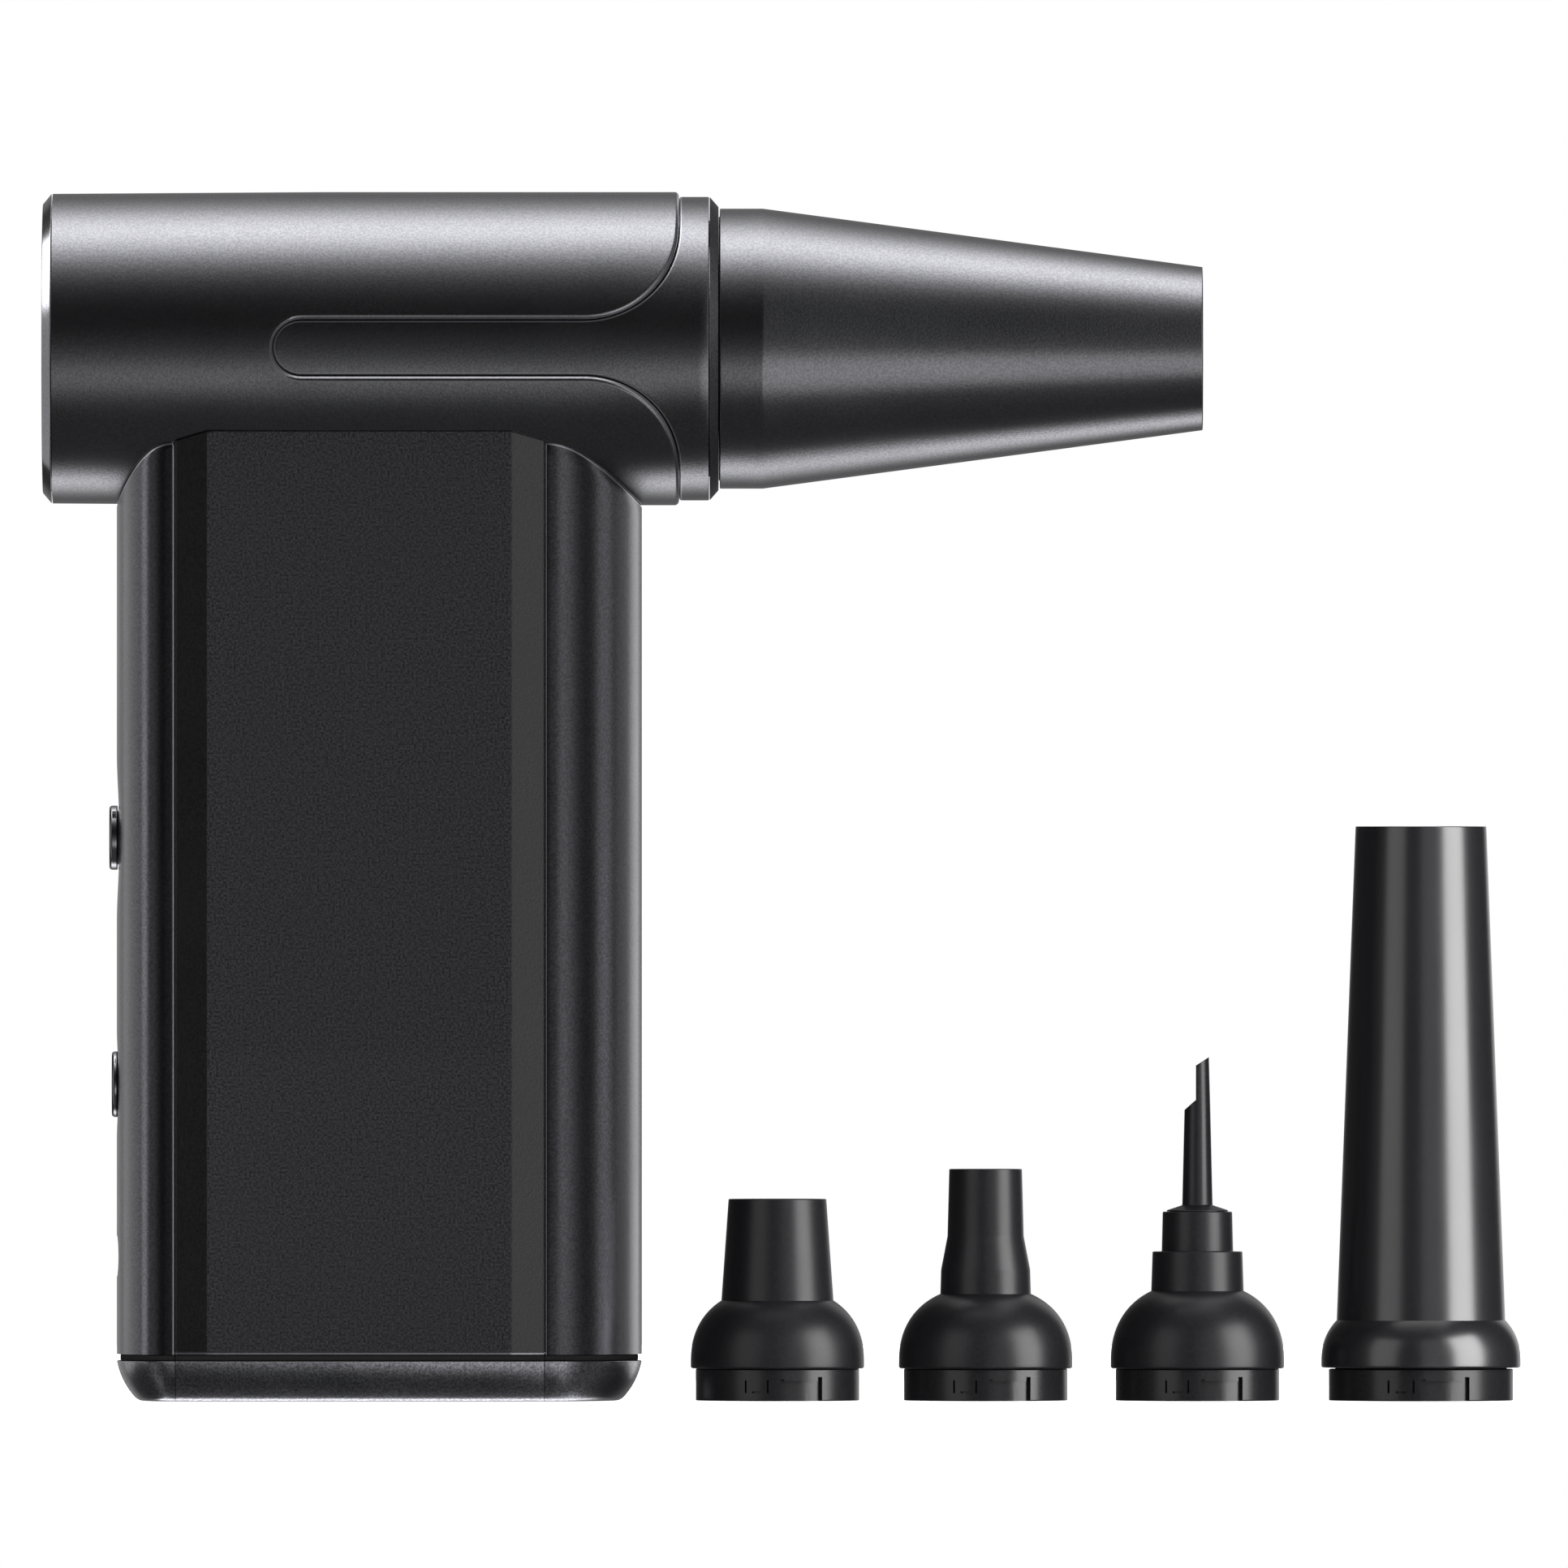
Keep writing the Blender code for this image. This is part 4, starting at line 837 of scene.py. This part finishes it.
def make_spare(name, materials, spout, ring_slot=0.65, wall=0.95, hollow=None):
    """One spare nozzle and the slotted bayonet ring under it."""
    body, ring = Span(name), Span(f"{name}_ring")
    x = ring.centre.x
    ball_r, ring_r = (body.x1 - body.x0) / 2, (ring.x1 - ring.x0) / 2
    place = Matrix.Translation((x, 0, 0))
    start_z = body.z0 + 0.7
    neck_r, neck_z = spout[0]
    full_rise = (neck_z - start_z) / (1 - (neck_r / ball_r) ** BALL_POWER) ** (1 / BALL_POWER)
    outer = ball_profile(ball_r, body.z0, start_z, neck_r, full_rise)
    inner_r = hollow[-1][0] if hollow else neck_r - wall
    finish = materials["long_nozzle" if name == "long_nozzle" else "nozzle"]
    inner = ball_profile(ball_r - 1.2, body.z0, start_z, inner_r, full_rise - 0.6)
    if hollow is None:
        hollow = [(radius - wall, z) for radius, z in reversed(spout[1:])]
    # the foot's corner is rounded between two helper points, which are then dropped
    rim = soften([(0, 0)] + outer[:2] + [(ball_r, 99)], 0.18, closed=False)[1:-1]
    stack = soften([outer[-1]] + spout[1:] + hollow + [inner[-1]], 0.16, closed=False)
    profile = rim + outer[2:-1] + stack + list(reversed(inner))[1:]
    bm = bmesh.new()
    lathe_into(bm, profile, 144, place)
    fit(finish_mesh(f"{name}_body", bm, finish, 40), name, name)
    make_spare_ring(name, ring_r, x, materials, ring_slot)


def make_spare_ring(name, ring_r, x, materials, slot_depth):
    """Bayonet ring with three L-shaped slots and a snap tab between two fine cuts."""
    spigot_r = ring_r - 0.9
    bore_r = ring_r - 1.3
    profile = [(ring_r, 0), (ring_r, 4.35), (spigot_r, 4.35), (spigot_r, 7.0), (bore_r, 7.0), (bore_r, 0)]
    made = turned(f"{name}_bayonet", profile, materials["nozzle_ring"], 0.16, Matrix(), 144)
    face = math.degrees(3.35 / ring_r) - 90
    cuts = ((-15, 16, -1.0, 2.75), (12.5, 16, -1.0, 3.3), (-15, -12.6, -1.0, 3.0))      # degrees and heights
    for start, end, near, far in cuts:
        bm = bmesh.new()
        for slot in range(3):
            middle = face + 120 * slot
            sector_into(bm, ring_r - slot_depth, ring_r + 2, middle + start, middle + end, near, far)
        cut(made, bm, f"slot_{start}_{far}")
    bm = bmesh.new()
    for slot in range(3):
        tab = 120 * slot - 90 - math.degrees(2.9 / ring_r)
        for side in (-1, 1):
            middle = tab + side * 8
            sector_into(bm, ring_r - 0.5, ring_r + 2, middle - 0.7, middle + 0.7, 1.1, 2.85, 2)
        sector_into(bm, ring_r - 0.5, ring_r + 2, tab - 3.2, tab + 3.2, 1.1, 1.35, 4)
    cut(made, bm, "tab")
    made.data.transform(Matrix.Translation((x * MM, 0, 0)))
    fit(made, f"{name}_ring", name)


def make_spares(materials):
    make_spare("wide_nozzle", materials, [(7.67, 13.7), (6.69, 27.6)])
    make_spare("round_nozzle", materials, [(6.2, 14.6), (6.1, 17.9), (5.22, 22.5), (4.98, 31.7)])
    make_spare("needle_nozzle", materials, [(6.33, 15.0), (6.15, 20.4), (4.89, 20.4), (4.76, 25.85)],
               hollow=[(1.1, 25.85), (1.1, 24.4), (3.7, 22.5)])
    make_spare("long_nozzle", materials, [(11.53, 11.0), (8.95, 78.6)], wall=1.05)
    make_needle_tip(materials)


def make_needle_tip(materials):
    """Tapered needle whose end is cut back in two slanting steps."""
    tip = Span("needle_tip")
    profile = soften([(4.2, tip.z0 - 0.17), (4.2, tip.z0), (2.08, tip.z0 + 0.7), (1.78, 39.6), (1.55, 48.0),
                      (0.95, 48.0), (1.0, tip.z0 - 0.17)], 0.12)
    bm = bmesh.new()
    lathe_into(bm, profile, 64, Matrix())
    made = finish_mesh("needle_tip_moulding", bm, materials["nozzle"])
    bm = bmesh.new()
    slant = [(-3.0, 38.7), (-0.2, 41.15), (-0.2, 45.85), (1.1, 46.7), (3.0, 48.0), (3.0, 50), (-3.0, 50)]
    prism_into(bm, slant, -4, 4, Matrix.Rotation(math.pi / 2, 4, "X"))
    cut(made, bm, "needle_slant")
    made.data.transform(Matrix.Translation((tip.centre.x * MM, 0, 0)))
    fit(made, "needle_tip", "needle_nozzle")


# ---------------------------------------------------------------- CAD pieces that keep their shape

KEPT = {
    "anodised": ["intake_grille"],
    "plastic": ["impeller", "guide_vane_ring", "tail_cone", "flow_reducer", "handle_frame",
                "lower_cell_holder", "upper_cell_holder", "power_switch", "speed_switch"],
    "steel": ["motor_can", "motor_shaft", "rotor_magnet", "front_bearing", "rear_bearing", "stator_core",
              "charge_port", "base_screw_1", "base_screw_2", "base_screw_3", "base_screw_4",
              "neck_screw_1", "neck_screw_2", "lower_cell_link", "upper_cell_link"],
    "copper": ["stator_windings"],
    "board": ["control_board", "charge_board", "driver_board"],
    "cell": ["cell_1", "cell_2", "cell_3"],
    "rubber": ["outlet_seal", "motor_leads", "battery_leads"],
}


def dress_kept(materials):
    for key, nodes in KEPT.items():
        for node in nodes:
            mesh = frame["nodes"][node].data
            mesh.materials.clear()
            mesh.materials.append(materials[key])


# ---------------------------------------------------------------- studio

def make_world():
    """White backdrop for the camera; soft bands of light for everything else.

    A band's brightness depends on its direction: round the barrel's axis for light from above, ahead and
    below, and round the upright axis for light from the sides.
    """
    world = bpy.data.worlds.new("studio")
    bpy.context.scene.world = world
    world.use_nodes = True
    tree = world.node_tree
    background = tree.nodes["Background"]

    def math_node(operation, *values):
        node = tree.nodes.new("ShaderNodeMath")
        node.operation = operation
        for slot, value in enumerate(values):
            if isinstance(value, (int, float)):
                node.inputs[slot].default_value = value
            else:
                tree.links.new(value, node.inputs[slot])
        return node.outputs[0]

    def ramp(factor, stops):
        node = tree.nodes.new("ShaderNodeValToRGB")
        node.color_ramp.interpolation = "B_SPLINE"
        elements = node.color_ramp.elements
        while len(elements) > 1:
            elements.remove(elements[-1])
        for index, (degrees, level) in enumerate(stops):
            place = (degrees + 180) / 360
            element = elements[0] if index == 0 else elements.new(place)
            element.position = place
            element.color = (level / STUDIO_LEVEL,) * 3 + (1,)
        tree.links.new(factor, node.inputs["Fac"])
        return node.outputs["Color"]

    coords = tree.nodes.new("ShaderNodeTexCoord")
    split = tree.nodes.new("ShaderNodeSeparateXYZ")
    tree.links.new(coords.outputs["Generated"], split.inputs["Vector"])
    x, y, z = split.outputs
    toward = math_node("MULTIPLY", y, -1.0)
    rise = math_node("MULTIPLY_ADD", math_node("ARCTAN2", z, toward), 0.5 / math.pi, 0.5)
    swing = math_node("MULTIPLY_ADD", math_node("ARCTAN2", x, toward), 0.5 / math.pi, 0.5)
    above = ramp(rise, RISE_BAND)
    around = ramp(swing, SWING_BAND)
    blend = tree.nodes.new("ShaderNodeMapRange")
    blend.interpolation_type = "SMOOTHSTEP"
    blend.inputs["From Min"].default_value = 0.32
    blend.inputs["From Max"].default_value = 0.4
    tree.links.new(math_node("ABSOLUTE", x), blend.inputs["Value"])
    mix = tree.nodes.new("ShaderNodeMix")
    mix.data_type = "RGBA"
    tree.links.new(blend.outputs["Result"], mix.inputs["Factor"])
    tree.links.new(above, mix.inputs["A"])
    tree.links.new(around, mix.inputs["B"])
    total = mix.outputs["Result"]
    for direction, level, rim, core in GLOWS:
        aim = Vector(direction).normalized()
        facing = math_node("MULTIPLY_ADD", z, aim.z, math_node("MULTIPLY_ADD", y, aim.y,
                                                               math_node("MULTIPLY", x, aim.x)))
        glow = tree.nodes.new("ShaderNodeMapRange")
        glow.interpolation_type = "SMOOTHSTEP"
        glow.inputs["From Min"].default_value, glow.inputs["From Max"].default_value = rim, core
        glow.inputs["To Max"].default_value = level / STUDIO_LEVEL
        tree.links.new(facing, glow.inputs["Value"])
        added = tree.nodes.new("ShaderNodeVectorMath")
        tree.links.new(total, added.inputs[0])
        tree.links.new(glow.outputs["Result"], added.inputs[1])
        total = added.outputs["Vector"]
    path = tree.nodes.new("ShaderNodeLightPath")
    seen = tree.nodes.new("ShaderNodeMix")
    seen.data_type = "RGBA"
    seen.inputs["B"].default_value = (1 / STUDIO_LEVEL, 1 / STUDIO_LEVEL, 1 / STUDIO_LEVEL, 1)
    tree.links.new(path.outputs["Is Camera Ray"], seen.inputs["Factor"])
    tree.links.new(total, seen.inputs["A"])
    tree.links.new(seen.outputs["Result"], background.inputs["Color"])
    background.inputs["Strength"].default_value = STUDIO_LEVEL


STUDIO_LEVEL = 5.0
RISE_BAND = [(-180, 0.3), (-152, 0.1), (-134, 0.4), (-117, 3.7), (-104, 0.25), (-92, 0.06), (-70, 0.09),
                (-48, 0.06), (-34, 0.13), (-22, 0.34), (-8, 0.17), (8, 0.03), (26, 0.02), (42, 0.05),
                (58, 0.22), (72, 1.1), (86, 3.4), (98, 4.5), (110, 3.2), (126, 0.95), (148, 0.12), (180, 0.3)]
SWING_BAND = [(-180, 0.4), (-166, 0.1), (-150, 0.06), (-100, 0.06), (-82, 0.12), (-68, 0.28), (-56, 0.42),
              (-44, 0.14), (-30, 0.02), (-14, 0.01), (2, 0.12), (16, 1.1), (32, 0.95), (48, 0.22), (62, 0.06),
              (76, 0.2), (92, 0.15), (120, 0.02), (148, 0.02), (166, 0.15), (180, 0.6)]
GLOWS = [((0.27, -0.89, -0.37), 0.8, 0.935, 0.995)]


def make_floor():
    """Pale floor, light enough to run into the backdrop."""
    made = new_material("pale_floor", (0.9, 0.9, 0.9), 0.7, specular=0.1)
    shader = made.node_tree.nodes["Principled BSDF"]
    shader.inputs["Emission Color"].default_value = (1, 1, 1, 1)
    shader.inputs["Emission Strength"].default_value = 0.92
    bm = bmesh.new()
    centre, reach, sides = Vector((55.0, 0.0, -0.25)), 900, 96
    hub = bm.verts.new(centre * MM)
    disc = [bm.verts.new((centre + Vector((reach * math.cos(t), reach * math.sin(t), 0.0))) * MM)
            for t in (2 * math.pi * step / sides for step in range(sides))]
    for step in range(sides):
        bm.faces.new((hub, disc[step], disc[(step + 1) % sides]))
    floor = finish_mesh("floor", bm, made)
    floor.visible_glossy = False
    floor.visible_shadow = False


SOFT_BOXES = {                 # swing round the upright axis, rise, width and height in degrees, radiance
    "spare_nozzles": [(60, 10, 36, 53, 22.0), (-42, 10, 34, 53, 2.8), (14, 10, 20, 53, 1.4),
                      (156, 10, 22, 53, 0.8)],
    "grip": [(-87, 10, 16, 53, 1.9), (-122, 10, 46, 53, 0.85), (-158, 10, 24, 53, 0.2),
             (90, 10, 24, 53, 0.85), (124, 10, 30, 53, 0.5), (148, 10, 22, 53, 1.5)],
    "cap": [(0, -14, 90, 14, 2.1), (0, -112, 50, 40, 2.6)],
    "head": [(-145, 14, 40, 30, 1.6), (150, 14, 30, 30, 1.0)],
    "end_rings": [(-112, 30, 26, 30, 6.0), (-112, -2, 40, 38, 0.8), (92, 22, 30, 48, 0.6)],
}
# parts of the names of the pieces that each group of soft boxes lights
LIT_BY = {"spare_nozzles": ("nozzle_", "needle_tip_"), "grip": ("_grip_", "base_cap_"), "cap": ("base_cap_",),
          "head": ("_skin",), "end_rings": ("ring_turned",)}


def make_soft_boxes(name, pieces):
    """Soft boxes out of the camera's sight that light and are shadowed by only the given pieces."""
    lit = bpy.data.collections.new(name)
    for piece in pieces:
        lit.objects.link(piece)
    centre, away = Vector((80, 0, 80)), 900.0
    for number, (swing, rise, wide, tall, radiance) in enumerate(SOFT_BOXES[name]):
        width, height = (2 * away * math.tan(math.radians(angle / 2)) for angle in (wide, tall))
        data = bpy.data.lights.new(f"{name}_box_{number}", "AREA")
        data.shape, data.size, data.size_y = "RECTANGLE", width * MM, height * MM
        data.energy = radiance * math.pi * width * height * MM ** 2
        lamp = bpy.data.objects.new(data.name, data)
        turn, lift = math.radians(swing), math.radians(rise)
        aim = Vector((math.sin(turn) * math.cos(lift), -math.cos(turn) * math.cos(lift), math.sin(lift)))
        lamp.location = (centre + aim * away) * MM
        lamp.rotation_euler = aim.to_track_quat("Z", "Y").to_euler()
        lamp.visible_camera = False
        lamp.light_linking.receiver_collection = lit
        lamp.light_linking.blocker_collection = lit
        bpy.context.collection.objects.link(lamp)


def make_camera():
    """Long lens, level with the blower's side."""
    width, middle_x, middle_z, lens, sensor = 214.67, 55.4, 84.4, 1500.0, 36.0
    data = bpy.data.cameras.new("camera")
    data.lens, data.sensor_width = lens, sensor
    camera = bpy.data.objects.new("camera", data)
    bpy.context.collection.objects.link(camera)
    distance = width / 2 * (2 * lens / sensor)
    camera.location = Vector((middle_x, -distance, middle_z)) * MM
    camera.rotation_euler = (math.pi / 2, 0, 0)
    data.clip_start, data.clip_end = 0.1, 30
    bpy.context.scene.camera = camera


# ---------------------------------------------------------------- scene

def main():
    bpy.context.scene.view_settings.view_transform = "Standard"
    make_camera()
    make_world()
    make_floor()
    materials = make_materials()
    dress_kept(materials)
    make_sleeve(materials)
    make_inner_barrel(materials)
    make_rings(materials)
    make_cone(materials)
    make_front_grip(materials)
    make_rear_grip(materials)
    make_panels(materials)
    make_base(materials)
    make_buttons(materials)
    make_spares(materials)
    for name, marks in LIT_BY.items():
        make_soft_boxes(name, [piece for piece in bpy.context.scene.objects
                               if any(mark in piece.name for mark in marks)])


main()
